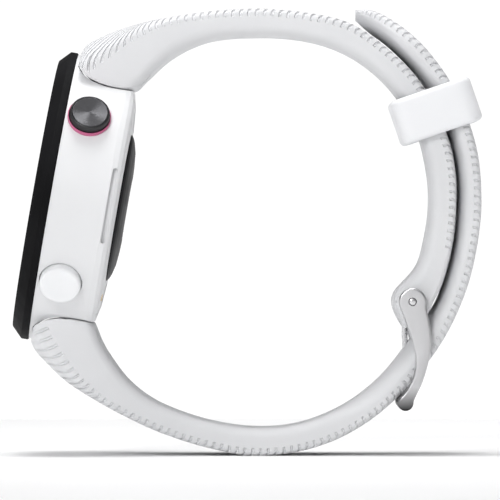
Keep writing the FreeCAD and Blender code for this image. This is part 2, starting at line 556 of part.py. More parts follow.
box = FreeCAD.BoundBox()
for s in OUT.values():
    box.add(s.BoundBox)
print("bounds", [round(v, 3) for v in (box.XMin, box.XMax, box.YMin, box.YMax, box.ZMin, box.ZMax)], len(OUT), "nodes")
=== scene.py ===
import bpy, bmesh, math
import numpy as np
from mathutils import Vector, Matrix


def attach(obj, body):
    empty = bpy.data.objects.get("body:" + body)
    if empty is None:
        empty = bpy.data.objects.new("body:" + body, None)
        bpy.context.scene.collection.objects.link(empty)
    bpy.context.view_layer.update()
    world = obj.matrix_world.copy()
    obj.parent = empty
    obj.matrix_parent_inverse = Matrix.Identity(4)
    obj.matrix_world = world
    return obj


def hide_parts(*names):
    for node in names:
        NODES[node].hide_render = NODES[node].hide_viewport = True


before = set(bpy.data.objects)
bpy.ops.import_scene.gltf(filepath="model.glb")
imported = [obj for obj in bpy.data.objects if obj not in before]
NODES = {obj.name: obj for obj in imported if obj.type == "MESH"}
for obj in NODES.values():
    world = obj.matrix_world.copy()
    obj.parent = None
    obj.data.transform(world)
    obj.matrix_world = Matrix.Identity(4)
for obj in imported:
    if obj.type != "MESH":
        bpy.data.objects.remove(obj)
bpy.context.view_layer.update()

# Everything below is worked out in millimetres and written to meshes in metres.
MM = 0.001

# ------------------------------------------------------------------ shared dimensions (mm)
TILT = math.radians(9.94)
S, C = math.sin(TILT), math.cos(TILT)
HX, HZ = -26.09, 34.93
BUTTON_Z = -3.2
BAR_Y, BAR_Z = 17.5, -6.2
PIN = (22.34, 20.72)
PIN_R, BARREL_R = 0.5, 2.67
ENDBAR = (21.40, 7.12)
ENDBAR_R = 1.08
PLATE_IN, PLATE_OUT = 10.3, 11.7
KEEPER_C, KEEPER_ANG = (25.54, 46.44), math.radians(18.9)
KEEPER_ACROSS, KEEPER_ALONG, KEEPER_GAP = 11.3, 6.2, 9.0
KEEPER_IN, KEEPER_OUT = 10.3, 11.6


def head(p):
    """Head-frame points (mm, N x 3) to world (mm)."""
    p = np.atleast_2d(np.asarray(p, float))
    x, y, z = p[:, 0], p[:, 1], p[:, 2]
    return np.c_[HX + S * y - C * z, -x, HZ + C * y + S * z]


def xz(y, z):
    return (HX + S * y - C * z, HZ + C * y + S * z)


# ------------------------------------------------------------------ materials
def new_mat(name):
    m = bpy.data.materials.new(name)
    m.use_nodes = True
    nt = m.node_tree
    for n in list(nt.nodes):
        nt.nodes.remove(n)
    out = nt.nodes.new("ShaderNodeOutputMaterial")
    b = nt.nodes.new("ShaderNodeBsdfPrincipled")
    nt.links.new(b.outputs[0], out.inputs[0])
    return m, nt, b


def coords(nt):
    return nt.nodes.new("ShaderNodeTexCoord").outputs["Object"]


def noise(nt, vec, scale, detail=3.0, rough=0.5):
    n = nt.nodes.new("ShaderNodeTexNoise")
    n.inputs["Scale"].default_value = scale
    n.inputs["Detail"].default_value = detail
    n.inputs["Roughness"].default_value = rough
    nt.links.new(vec, n.inputs["Vector"])
    return n.outputs["Fac"]


def ramp(nt, fac, a, b, p0=0.3, p1=0.7):
    r = nt.nodes.new("ShaderNodeValToRGB")
    r.color_ramp.elements[0].position, r.color_ramp.elements[1].position = p0, p1
    r.color_ramp.elements[0].color = (*a, 1.0) if len(a) == 3 else a
    r.color_ramp.elements[1].color = (*b, 1.0) if len(b) == 3 else b
    nt.links.new(fac, r.inputs[0])
    return r.outputs[0]


def spread(nt, fac, lo, hi):
    m = nt.nodes.new("ShaderNodeMapRange")
    m.inputs["From Min"].default_value, m.inputs["From Max"].default_value = 0.3, 0.7
    m.inputs["To Min"].default_value, m.inputs["To Max"].default_value = lo, hi
    nt.links.new(fac, m.inputs["Value"])
    return m.outputs[0]


def bump(nt, height, strength, dist):
    b = nt.nodes.new("ShaderNodeBump")
    b.inputs["Strength"].default_value = strength
    b.inputs["Distance"].default_value = dist
    nt.links.new(height, b.inputs["Height"])
    return b.outputs[0]


def surface(name, dark, light, rough=(0.4, 0.5), grain=2500.0, blotch=90.0, bump_s=0.15, bump_d=0.00002, metallic=0.0,
            spec=0.5, coat=0.0, coat_r=0.1, sheen=0.0, stretch=None, ior=1.45, trans=0.0, alpha=None, sss=0.0):
    """A procedural finish: blotchy colour, uneven roughness and a fine grain. stretch draws the grain out along axes."""
    m, nt, b = new_mat(name)
    vec = coords(nt)
    big = noise(nt, vec, blotch, 4.0)
    nt.links.new(ramp(nt, big, dark, light), b.inputs["Base Color"])
    gv = vec
    if stretch:
        mp = nt.nodes.new("ShaderNodeMapping")
        mp.inputs["Scale"].default_value = stretch
        nt.links.new(vec, mp.inputs["Vector"])
        gv = mp.outputs[0]
    fine = noise(nt, gv, grain, 2.0)
    mid = noise(nt, gv, grain * 0.25, 3.0)
    nt.links.new(spread(nt, mid, *rough), b.inputs["Roughness"])
    if bump_s > 0:
        nt.links.new(bump(nt, fine, bump_s, bump_d), b.inputs["Normal"])
    b.inputs["Metallic"].default_value = metallic
    b.inputs["Specular IOR Level"].default_value = spec
    b.inputs["IOR"].default_value = ior
    if coat:
        b.inputs["Coat Weight"].default_value = coat
        b.inputs["Coat Roughness"].default_value = coat_r
    if sheen:
        b.inputs["Sheen Weight"].default_value = sheen
        b.inputs["Sheen Roughness"].default_value = 0.5
    if trans:
        b.inputs["Transmission Weight"].default_value = trans
    if sss:
        b.inputs["Subsurface Weight"].default_value = sss
        b.inputs["Subsurface Radius"].default_value = (1.0, 0.9, 0.85)
        b.inputs["Subsurface Scale"].default_value = 0.0006
    if alpha is not None:
        b.inputs["Alpha"].default_value = alpha
    return m


M = {
    "silicone": surface("silicone", (0.625, 0.630, 0.643), (0.668, 0.672, 0.684), (0.5, 0.62), 1800, 60, 0.25, 0.00002, spec=0.42, sheen=0.08),
    # the keeper's lighter base colour is painted light: a brighter copy of the strap silicone, standing in for the
    # stronger light falling on the keeper
    "keeper": surface("keeper_silicone_painted_light", (0.765, 0.772, 0.788), (0.80, 0.806, 0.822), (0.46, 0.56), 1800, 60, 0.22, 0.00002, spec=0.42, sheen=0.08),
    "case": surface("case_white", (0.66, 0.664, 0.674), (0.69, 0.694, 0.704), (0.34, 0.44), 2600, 50, 0.12, 0.00001, spec=0.5),
    "button_white": surface("button_white", (0.73, 0.738, 0.75), (0.765, 0.773, 0.785), (0.28, 0.36), 2600, 80, 0.08, 0.00001, spec=0.5),
    "bezel": surface("bezel_black", (0.006, 0.006, 0.0065), (0.010, 0.010, 0.011), (0.56, 0.66), 3000, 120, 0.3, 0.000012, spec=0.05),
    "gloss_black": surface("sensor_black", (0.006, 0.006, 0.007), (0.012, 0.012, 0.014), (0.42, 0.52), 1600, 100, 0.06, 0.00001, spec=0.16),
    "band_grey": surface("sensor_band", (0.030, 0.031, 0.034), (0.045, 0.046, 0.050), (0.32, 0.42), 2600, 100, 0.15, 0.00001, spec=0.5),
    "pink": surface("accent_pink", (0.46, 0.09, 0.20), (0.54, 0.12, 0.25), (0.30, 0.40), 2600, 200, 0.1, 0.00001, spec=0.5),
    "button_black": surface("button_black", (0.010, 0.010, 0.011), (0.020, 0.020, 0.022), (0.30, 0.42), 2800, 150, 0.15, 0.00001, spec=0.5),
    "steel": surface("brushed_steel", (0.56, 0.56, 0.57), (0.66, 0.66, 0.67), (0.24, 0.34), 5000, 140, 0.25, 0.00001, metallic=1.0, stretch=(1.0, 0.06, 1.0)),
    "screw": surface("screw_steel", (0.40, 0.40, 0.41), (0.52, 0.52, 0.53), (0.22, 0.34), 5000, 300, 0.2, 0.00001, metallic=1.0),
    "brass": surface("contact_gold", (0.80, 0.56, 0.22), (0.90, 0.68, 0.32), (0.18, 0.30), 5000, 300, 0.1, 0.00001, metallic=1.0),
    "seal": surface("seal_rubber", (0.018, 0.018, 0.018), (0.032, 0.032, 0.032), (0.6, 0.75), 3000, 200, 0.3, 0.00002),
    "board": surface("board_green", (0.006, 0.060, 0.028), (0.012, 0.095, 0.045), (0.25, 0.4), 3000, 400, 0.2, 0.00002, coat=0.3),
    "inner": surface("inner_plastic", (0.03, 0.03, 0.03), (0.05, 0.05, 0.05), (0.45, 0.6), 3000, 200, 0.2, 0.00002),
    "ceramic": surface("antenna_ceramic", (0.52, 0.49, 0.40), (0.62, 0.59, 0.50), (0.5, 0.65), 3000, 200, 0.2, 0.00002),
    "foil": surface("battery_foil", (0.55, 0.55, 0.57), (0.68, 0.68, 0.70), (0.25, 0.4), 800, 150, 0.5, 0.00005, metallic=1.0),
    "led": surface("led_clear", (0.62, 0.68, 0.45), (0.75, 0.80, 0.58), (0.15, 0.25), 3000, 300, 0.05, 0.00001, coat=0.5),
    "lens": surface("lens_glass", (0.98, 0.99, 0.99), (1.0, 1.0, 1.0), (0.015, 0.03), 500, 60, 0.0, 0.0, ior=1.5, trans=1.0),
    "sensor_glass": surface("sensor_glass", (0.010, 0.011, 0.013), (0.016, 0.017, 0.020), (0.03, 0.06), 500, 60, 0.0, 0.0, spec=0.7, coat=0.6, coat_r=0.03),
    "display": surface("display_panel", (0.030, 0.034, 0.032), (0.040, 0.045, 0.043), (0.2, 0.3), 9000, 200, 0.05, 0.00001, coat=0.4, coat_r=0.08),
    "dial_light": surface("dial_marks", (0.55, 0.57, 0.58), (0.62, 0.64, 0.65), (0.4, 0.5), 9000, 200, 0.0, 0.0),
    "dial_accent": surface("dial_accent", (0.55, 0.07, 0.22), (0.62, 0.10, 0.27), (0.4, 0.5), 9000, 200, 0.0, 0.0),
}


def turned_metal():
    """Face turned on a lathe: the sheen runs round the middle of the disc."""
    m = surface("turned_metal", (0.070, 0.070, 0.074), (0.095, 0.095, 0.10), (0.20, 0.28), 5200, 260, 0.10, 0.000006, metallic=1.0)
    nt = m.node_tree
    b = [n for n in nt.nodes if n.type == "BSDF_PRINCIPLED"][0]
    tg = nt.nodes.new("ShaderNodeTangent")
    tg.direction_type, tg.axis = "RADIAL", "Z"
    nt.links.new(tg.outputs[0], b.inputs["Tangent"])
    b.inputs["Anisotropic"].default_value = 0.85
    return m


def plate_metal_painted_dark_end():
    """Brushed steel with a painted dark reflection: the base colour is scaled darker towards the buckle's lower end,
    standing in for the dark surroundings the end bar reflects.
    """
    m = surface("brushed_plate_painted_dark_end", (0.52, 0.52, 0.53), (0.58, 0.58, 0.59), (0.30, 0.40), 4200, 140, 0.22, 0.00001, metallic=1.0, stretch=(1.0, 1.0, 0.12))
    nt = m.node_tree
    b = [n for n in nt.nodes if n.type == "BSDF_PRINCIPLED"][0]
    src = b.inputs["Base Color"].links[0].from_socket
    sp = nt.nodes.new("ShaderNodeSeparateXYZ")
    nt.links.new(coords(nt), sp.inputs[0])
    # painted dark reflection: base colour scaled to 5% below 6.2 mm height, rising to full above 9.2 mm
    mr = nt.nodes.new("ShaderNodeMapRange")
    mr.inputs["From Min"].default_value, mr.inputs["From Max"].default_value = 0.0062, 0.0092
    mr.inputs["To Min"].default_value, mr.inputs["To Max"].default_value = 0.05, 1.0
    nt.links.new(sp.outputs["Z"], mr.inputs["Value"])
    mx = nt.nodes.new("ShaderNodeVectorMath")
    mx.operation = "SCALE"
    nt.links.new(src, mx.inputs[0])
    nt.links.new(mr.outputs[0], mx.inputs["Scale"])
    nt.links.new(mx.outputs[0], b.inputs["Base Color"])
    return m


M["turned"] = turned_metal()
M["steel_plate"] = plate_metal_painted_dark_end()


# ------------------------------------------------------------------ mesh helpers
def build(name, verts, faces, mat, body, replaces=(), slot=None, sharp=35.0, weld=None, mats=None, face_mats=None):
    """A mesh object from millimetre vertices, riding on a CAD body."""
    me = bpy.data.meshes.new(name)
    me.from_pydata([tuple(v) for v in np.asarray(verts, float) * MM], [], [tuple(int(i) for i in f) for f in faces])
    ob = bpy.data.objects.new(name, me)
    bpy.context.scene.collection.objects.link(ob)
    for m in (mats or [mat]):
        me.materials.append(m)
    if face_mats is not None:
        me.polygons.foreach_set("material_index", np.asarray(face_mats, np.int32))
    bm = bmesh.new()
    bm.from_mesh(me)
    if weld:
        bmesh.ops.remove_doubles(bm, verts=bm.verts, dist=weld * MM)
        bmesh.ops.dissolve_degenerate(bm, edges=bm.edges, dist=1e-8)
    bmesh.ops.recalc_face_normals(bm, faces=bm.faces)
    bm.to_mesh(me)
    bm.free()
    finish_mesh(ob, sharp)
    dress(ob, body, replaces)
    return ob


def finish_mesh(ob, sharp=35.0):
    me = ob.data
    me.polygons.foreach_set("use_smooth", [True] * len(me.polygons))
    me.set_sharp_from_angle(angle=math.radians(sharp))
    me.update()


def dress(ob, body, replaces=()):
    if body:
        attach(ob, body)
    if replaces:
        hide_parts(*replaces)


def loops(name, rings, mat, body, closed=True, cap=(False, False), **kw):
    """Skin a list of equal-length rings (each N x 3, mm)."""
    n = len(rings[0])
    verts = np.concatenate(rings)
    faces = []
    for i in range(len(rings) - 1):
        for j in range(n if closed else n - 1):
            k = (j + 1) % n
            faces.append((i * n + j, i * n + k, (i + 1) * n + k, (i + 1) * n + j))
    if cap[0]:
        faces.append(tuple(range(n))[::-1])
    if cap[1]:
        faces.append(tuple(range((len(rings) - 1) * n, len(rings) * n)))
    return build(name, verts, faces, mat, body, **kw)


def lathe(name, profile, mat, body, to_world, segs=160, close=False, **kw):
    """Turn an (r, z) outline about the local z axis. Points with r = 0 become poles. close joins the last point to the first."""
    verts, index = [], []
    for r, z in profile:
        if r < 1e-6:
            index.append([len(verts)] * segs)
            verts.append((0, 0, z))
        else:
            index.append(list(range(len(verts), len(verts) + segs)))
            for i in range(segs):
                a = 2 * math.pi * i / segs
                verts.append((r * math.cos(a), r * math.sin(a), z))
    faces = []
    pairs = list(zip(range(len(profile) - 1), range(1, len(profile))))
    if close:
        pairs.append((len(profile) - 1, 0))
    for a, b in pairs:
        for i in range(segs):
            k = (i + 1) % segs
            f = [index[a][i], index[a][k], index[b][k], index[b][i]]
            g = []
            for v in f:
                if v not in g:
                    g.append(v)
            if len(g) > 2:
                faces.append(tuple(g))
    return build(name, to_world(np.array(verts)), faces, mat, body, **kw)


def rounded_profile(points, radii, steps=4):
    """Round the corners of an open (r, z) outline: radii[i] at point i (0 keeps it sharp)."""
    out = []
    n = len(points)
    for i, p in enumerate(points):
        r = radii[i]
        if r <= 0 or i in (0, n - 1):
            out.append(p)
            continue
        a, b = np.array(points[i - 1], float), np.array(points[i + 1], float)
        p = np.array(p, float)
        u, v = a - p, b - p
        lu, lv = np.linalg.norm(u), np.linalg.norm(v)
        u, v = u / lu, v / lv
        ang = math.acos(max(-1, min(1, float(u @ v))))
        t = min(r / math.tan(ang / 2), 0.48 * lu, 0.48 * lv)
        p0, p1 = p + u * t, p + v * t
        for k in range(steps + 1):
            s = k / steps
            q = (1 - s) ** 2 * p0 + 2 * s * (1 - s) * p + s ** 2 * p1
            out.append(tuple(q))
    return out


def cutter(name, verts, faces):
    me = bpy.data.meshes.new(name)
    me.from_pydata([tuple(v) for v in np.asarray(verts, float) * MM], [], [tuple(int(i) for i in f) for f in faces])
    ob = bpy.data.objects.new(name, me)
    bpy.context.scene.collection.objects.link(ob)
    bm = bmesh.new()
    bm.from_mesh(me)
    bmesh.ops.recalc_face_normals(bm, faces=bm.faces)
    bm.to_mesh(me)
    bm.free()
    return ob


def prism(outline, axis_vec, origin):
    """Verts and faces of a closed prism: outline N x 3 (mm) pushed by axis_vec."""
    o = np.asarray(outline, float)
    n = len(o)
    v = np.concatenate([o, o + np.asarray(axis_vec, float)])
    f = [tuple(range(n))[::-1], tuple(range(n, 2 * n))]
    f += [(i, (i + 1) % n, n + (i + 1) % n, n + i) for i in range(n)]
    return v, f


def merge(parts):
    vs, fs, k = [], [], 0
    for v, f in parts:
        vs.append(np.asarray(v, float))
        fs += [tuple(i + k for i in q) for q in f]
        k += len(v)
    return np.concatenate(vs), fs


def box_of(me):
    co = np.empty(len(me.vertices) * 3)
    me.vertices.foreach_get("co", co)
    co = co.reshape(-1, 3)
    return np.r_[-co.min(0), co.max(0)]


def boolean(ob, cut, op="DIFFERENCE"):
    """Cut or join with the exact solver. A cut that leaves the shape larger is done again with the tolerant settings."""
    before = box_of(ob.data)
    for tries in ((False, False), (True, False), (True, True)):
        md = ob.modifiers.new("b", "BOOLEAN")
        md.operation, md.object, md.solver = op, cut, "EXACT"
        md.use_self, md.use_hole_tolerant = tries
        dg = bpy.context.evaluated_depsgraph_get()
        me = bpy.data.meshes.new_from_object(ob.evaluated_get(dg))
        ob.modifiers.clear()
        if op != "DIFFERENCE" or (len(me.vertices) and np.all(box_of(me) <= before + 2e-5)):
            break
        print("cut done again:", ob.name, cut.name, tries)
    old = ob.data
    ob.data = me
    bpy.data.meshes.remove(old)
    cm = cut.data
    bpy.data.objects.remove(cut)
    bpy.data.meshes.remove(cm)
    return ob


# ------------------------------------------------------------------ curves
def cubic(points, step=0.2):
    """A natural cubic spline through points, resampled evenly."""
    p = np.asarray(points, float)
    t = np.r_[0, np.cumsum(np.linalg.norm(np.diff(p, axis=0), axis=1))]
    n = len(p)
    h = np.diff(t)
    A = np.zeros((n, n))
    R = np.zeros((n, p.shape[1]))
    A[0, 0] = A[-1, -1] = 1
    for i in range(1, n - 1):
        A[i, i - 1], A[i, i], A[i, i + 1] = h[i - 1], 2 * (h[i - 1] + h[i]), h[i]
        R[i] = 6 * ((p[i + 1] - p[i]) / h[i] - (p[i] - p[i - 1]) / h[i - 1])
    m = np.linalg.solve(A, R)
    q = np.arange(0, t[-1] + step / 2, step)
    q = np.linspace(0, t[-1], len(q))
    k = np.clip(np.searchsorted(t, q) - 1, 0, n - 2)
    d0, d1 = (t[k + 1] - q)[:, None], (q - t[k])[:, None]
    hk = h[k][:, None]
    out = (m[k] * d0 ** 3 + m[k + 1] * d1 ** 3) / (6 * hk) + (p[k] / hk - m[k] * hk / 6) * d0 + (p[k + 1] / hk - m[k + 1] * hk / 6) * d1
    return even(out, step)


def even(p, step=0.2):
    t = np.r_[0, np.cumsum(np.linalg.norm(np.diff(p, axis=0), axis=1))]
    q = np.linspace(0, t[-1], int(round(t[-1] / step)) + 1)
    return np.c_[[np.interp(q, t, p[:, i]) for i in range(p.shape[1])]].T


def faired(p, sigma, step=0.2):
    """Gaussian fairing that keeps both ends where they are."""
    n = len(p)
    r = int(3 * sigma / step)
    w = np.exp(-0.5 * (np.arange(-r, r + 1) * step / sigma) ** 2)
    w /= w.sum()
    pad0 = 2 * p[0] - p[1:r + 1][::-1]
    pad1 = 2 * p[-1] - p[-r - 1:-1][::-1]
    q = np.concatenate([pad0, p, pad1])
    return np.c_[[np.convolve(q[:, i], w, "valid") for i in range(p.shape[1])]].T


def smooth01(x):
    x = np.clip(x, 0, 1)
    return x * x * (3 - 2 * x)


def length(p):
    return np.r_[0, np.cumsum(np.linalg.norm(np.diff(p, axis=0), axis=1))]


# ------------------------------------------------------------------ straps
UPPER_OUTER = [(-22.28, 54.73), (-21.73, 55.16), (-20.42, 55.95), (-18.75, 56.75), (-17.18, 57.37), (-15.82, 57.83),
               (-13.94, 58.32), (-12.74, 58.57), (-9.76, 59.09), (-6.94, 59.54), (-4.17, 59.88), (-1.45, 60.08),
               (1.21, 60.18), (3.89, 60.08), (6.54, 59.84), (9.16, 59.47), (11.79, 58.95), (14.55, 57.95),
               (17.81, 55.8), (19.96, 54.01), (22.12, 51.85), (23.96, 49.45), (25.62, 46.55), (26.92, 43.42),
               (27.92, 39.76), (28.29, 35.64), (28.10, 31.31), (27.60, 27.55), (27.1, 25.55), (26.44, 23.3)]
UPPER_INNER = [(-15.0, 49.12), (-14.21, 49.88), (-12.96, 51.1), (-12.24, 51.82), (-9.96, 53.72),
               (-7.44, 55.12), (-4.66, 56.06), (-1.79, 56.44), (1.07, 56.55), (3.89, 56.53), (6.69, 56.27),
               (9.43, 55.75), (12.07, 54.89), (14.55, 53.64), (16.8, 52.08), (18.8, 50.23), (20.51, 48.19),
               (22.34, 45.34), (23.65, 42.12), (24.37, 38.82), (24.70, 36.46), (24.75, 34.14), (24.6, 31.88),
               (24.23, 29.71), (23.79, 27.62), (23.12, 25.63), (21.94, 24.1)]
LOWER_OUTER = [(-29.4, 15.35), (-28.74, 14.6), (-26.91, 12.54), (-24.96, 10.59), (-22.59, 8.87), (-20.59, 7.66),
               (-19.35, 6.93), (-16.09, 5.19), (-12.85, 3.65), (-9.61, 2.39), (-6.37, 1.38), (-3.13, 0.58),
               (-0.8, 0.12), (1.2, 0.0), (3.75, 0.08), (5.91, 0.33), (8.07, 0.78), (10.23, 1.42), (12.4, 2.28), (14.55, 3.40),
               (16.72, 4.80), (18.84, 6.45), (21.03, 8.58), (22.12, 9.80), (24.92, 13.2), (26.44, 15.45),
               (27.96, 18.27), (29.27, 21.31), (30.34, 24.65), (30.99, 27.68), (31.35, 29.91), (31.64, 32.73),
               (31.65, 35.61), (31.46, 38.67), (30.96, 41.66), (30.2, 44.29), (29.0, 47.4), (27.42, 50.45), (25.4, 53.35),
               (23.07, 56.0), (20.36, 58.21), (17.37, 59.95), (16.2, 60.32), (15.2, 60.45)]
LOWER_INNER = [(15.2, 58.34), (16.3, 57.40), (18.2, 56.05), (20.20, 54.38), (22.36, 52.20), (24.23, 49.75), (25.87, 46.90),
               (27.22, 43.64), (28.2, 39.99), (28.57, 35.68), (28.39, 31.30), (27.90, 27.60), (26.75, 23.47), (25.15, 19.70),
               (23.93, 18.08), (22.61, 16.30), (21.13, 14.2), (19.68, 12.28), (17.98, 10.42), (16.03, 8.69),
               (13.94, 7.15), (11.65, 5.86), (9.18, 4.84), (6.59, 4.1), (3.89, 3.74), (1.16, 3.69), (-1.58, 3.92),
               (-4.32, 4.41), (-7.05, 5.13), (-9.75, 6.07), (-12.4, 7.28), (-14.82, 8.95), (-16.87, 11.02),
               (-18.45, 13.27), (-19.56, 15.05), (-20.1, 16.5)]
CASE_SIDE_KNOTS = [(17.75, -0.42), (17.15, -0.95), (16.55, -1.75), (16.1, -2.8), (15.8, -4.2), (15.68, -5.6),
                   (15.68, -7.0), (15.74, -8.30)]
GAP = 0.16
case_side = cubic(CASE_SIDE_KNOTS, 0.05)
side_points = [(19.74, -0.48)] + [(y + GAP, z) for y, z in case_side[4:]]
PART_UP = np.array([xz(y, z) for y, z in side_points])
PART_DN = np.array([xz(-y, z) for y, z in side_points])


def on_barrel(deg, r=BARREL_R):
    a = math.radians(deg)
    return (PIN[0] + r * math.cos(a), PIN[1] + r * math.sin(a))


PLAN_X = np.array([-40, -22.5, -18.0, -13.0, -8.0, -3.0, 2.0, 40])
PLAN_W = np.array([11.85, 11.85, 11.75, 11.2, 10.55, 10.15, 10.0, 10.0])


def half_width(x):
    return np.interp(x, PLAN_X, PLAN_W) - 0.02


class Side:
    """A strap's side outline: outer and inner curves walked from the root, and how they pair up."""

    def __init__(self, outer, inner, part, sigma=1.0):
        self.O = faired(cubic(outer, 0.2), sigma)
        self.I = faired(cubic(inner, 0.2), sigma)
        self.O, self.I = even(self.O, 0.1), even(self.I, 0.1)
        self.sO, self.sI = length(self.O), length(self.I)
        self.LO, self.LI = self.sO[-1], self.sI[-1]
        self.part = even(part, 0.05)
        q = length(self.part)
        self.part_t = q / q[-1]
        self.pair()

    def at(self, P, s, q):
        return np.c_[np.interp(q, s, P[:, 0]), np.interp(q, s, P[:, 1])]

    def o(self, q):
        return self.at(self.O, self.sO, q)

    def i(self, q):
        return self.at(self.I, self.sI, q)

    def to(self, q):
        d = self.o(np.minimum(np.asarray(q) + 0.3, self.LO)) - self.o(np.maximum(np.asarray(q) - 0.3, 0))
        return d / np.linalg.norm(d, axis=1)[:, None]

    def ti(self, q):
        d = self.i(np.minimum(np.asarray(q) + 0.3, self.LI)) - self.i(np.maximum(np.asarray(q) - 0.3, 0))
        return d / np.linalg.norm(d, axis=1)[:, None]

    def pair(self):
        si = np.linspace(0, self.LI, 700)
        so = np.zeros_like(si)
        oq = np.linspace(0, self.LO, 2400)
        op, ot = self.o(oq), self.to(oq)
        last = 0
        for k, s in enumerate(si):
            p, t = self.i([s])[0], self.ti([s])[0]
            f = np.einsum("ij,ij->i", op - p, ot + t)
            j = last
            lim = min(last + 400, len(oq) - 1)
            while j < lim and f[j] < 0:
                j += 1
            so[k] = oq[j]
            last = max(j - 1, last)
        so = so - so[0] * (1 - smooth01(si / 8.0))
        so = np.maximum.accumulate(so)
        so += (self.LO - so[-1]) * smooth01((si - (self.LI - 6)) / 6.0)
        so = np.maximum.accumulate(so)
        so += np.arange(len(so)) * 1e-7
        r = 12
        pad = np.r_[2 * so[0] - so[1:r + 1][::-1], so, 2 * so[-1] - so[-r - 1:-1][::-1]]
        so2 = np.convolve(pad, np.hanning(2 * r + 3)[1:-1] / np.hanning(2 * r + 3)[1:-1].sum(), "valid")
        self.pair_o, self.pair_i = so2, si

    def inner_of(self, s):
        return np.interp(s, self.pair_o, self.pair_i)

    def section(self, s):
        """(outer point, inner point, thickness) of the section at outer length s (array)."""
        a, b = self.o(s), self.i(self.inner_of(s))
        return a, b, np.linalg.norm(b - a, axis=1)

    def point(self, s, t):
        """World (x, z) at outer length s and share t of the way in; both arrays of one shape."""
        s, t = np.asarray(s, float), np.asarray(t, float)
        a, b, T = self.section(s.ravel())
        tt = t.ravel()
        p = a + (b - a) * tt[:, None]
        fade = 1 - smooth01(s.ravel() / 8.0)
        straight = self.part[0] + (self.part[-1] - self.part[0]) * tt[:, None]
        bow = np.c_[np.interp(tt, self.part_t, self.part[:, 0]), np.interp(tt, self.part_t, self.part[:, 1])] - straight
        p = p + bow * fade[:, None]
        return p.reshape(*s.shape, 2)


FACE_N, SHOULDER_N, CORNER_N, INNER_N = 13, 10, 6, 5


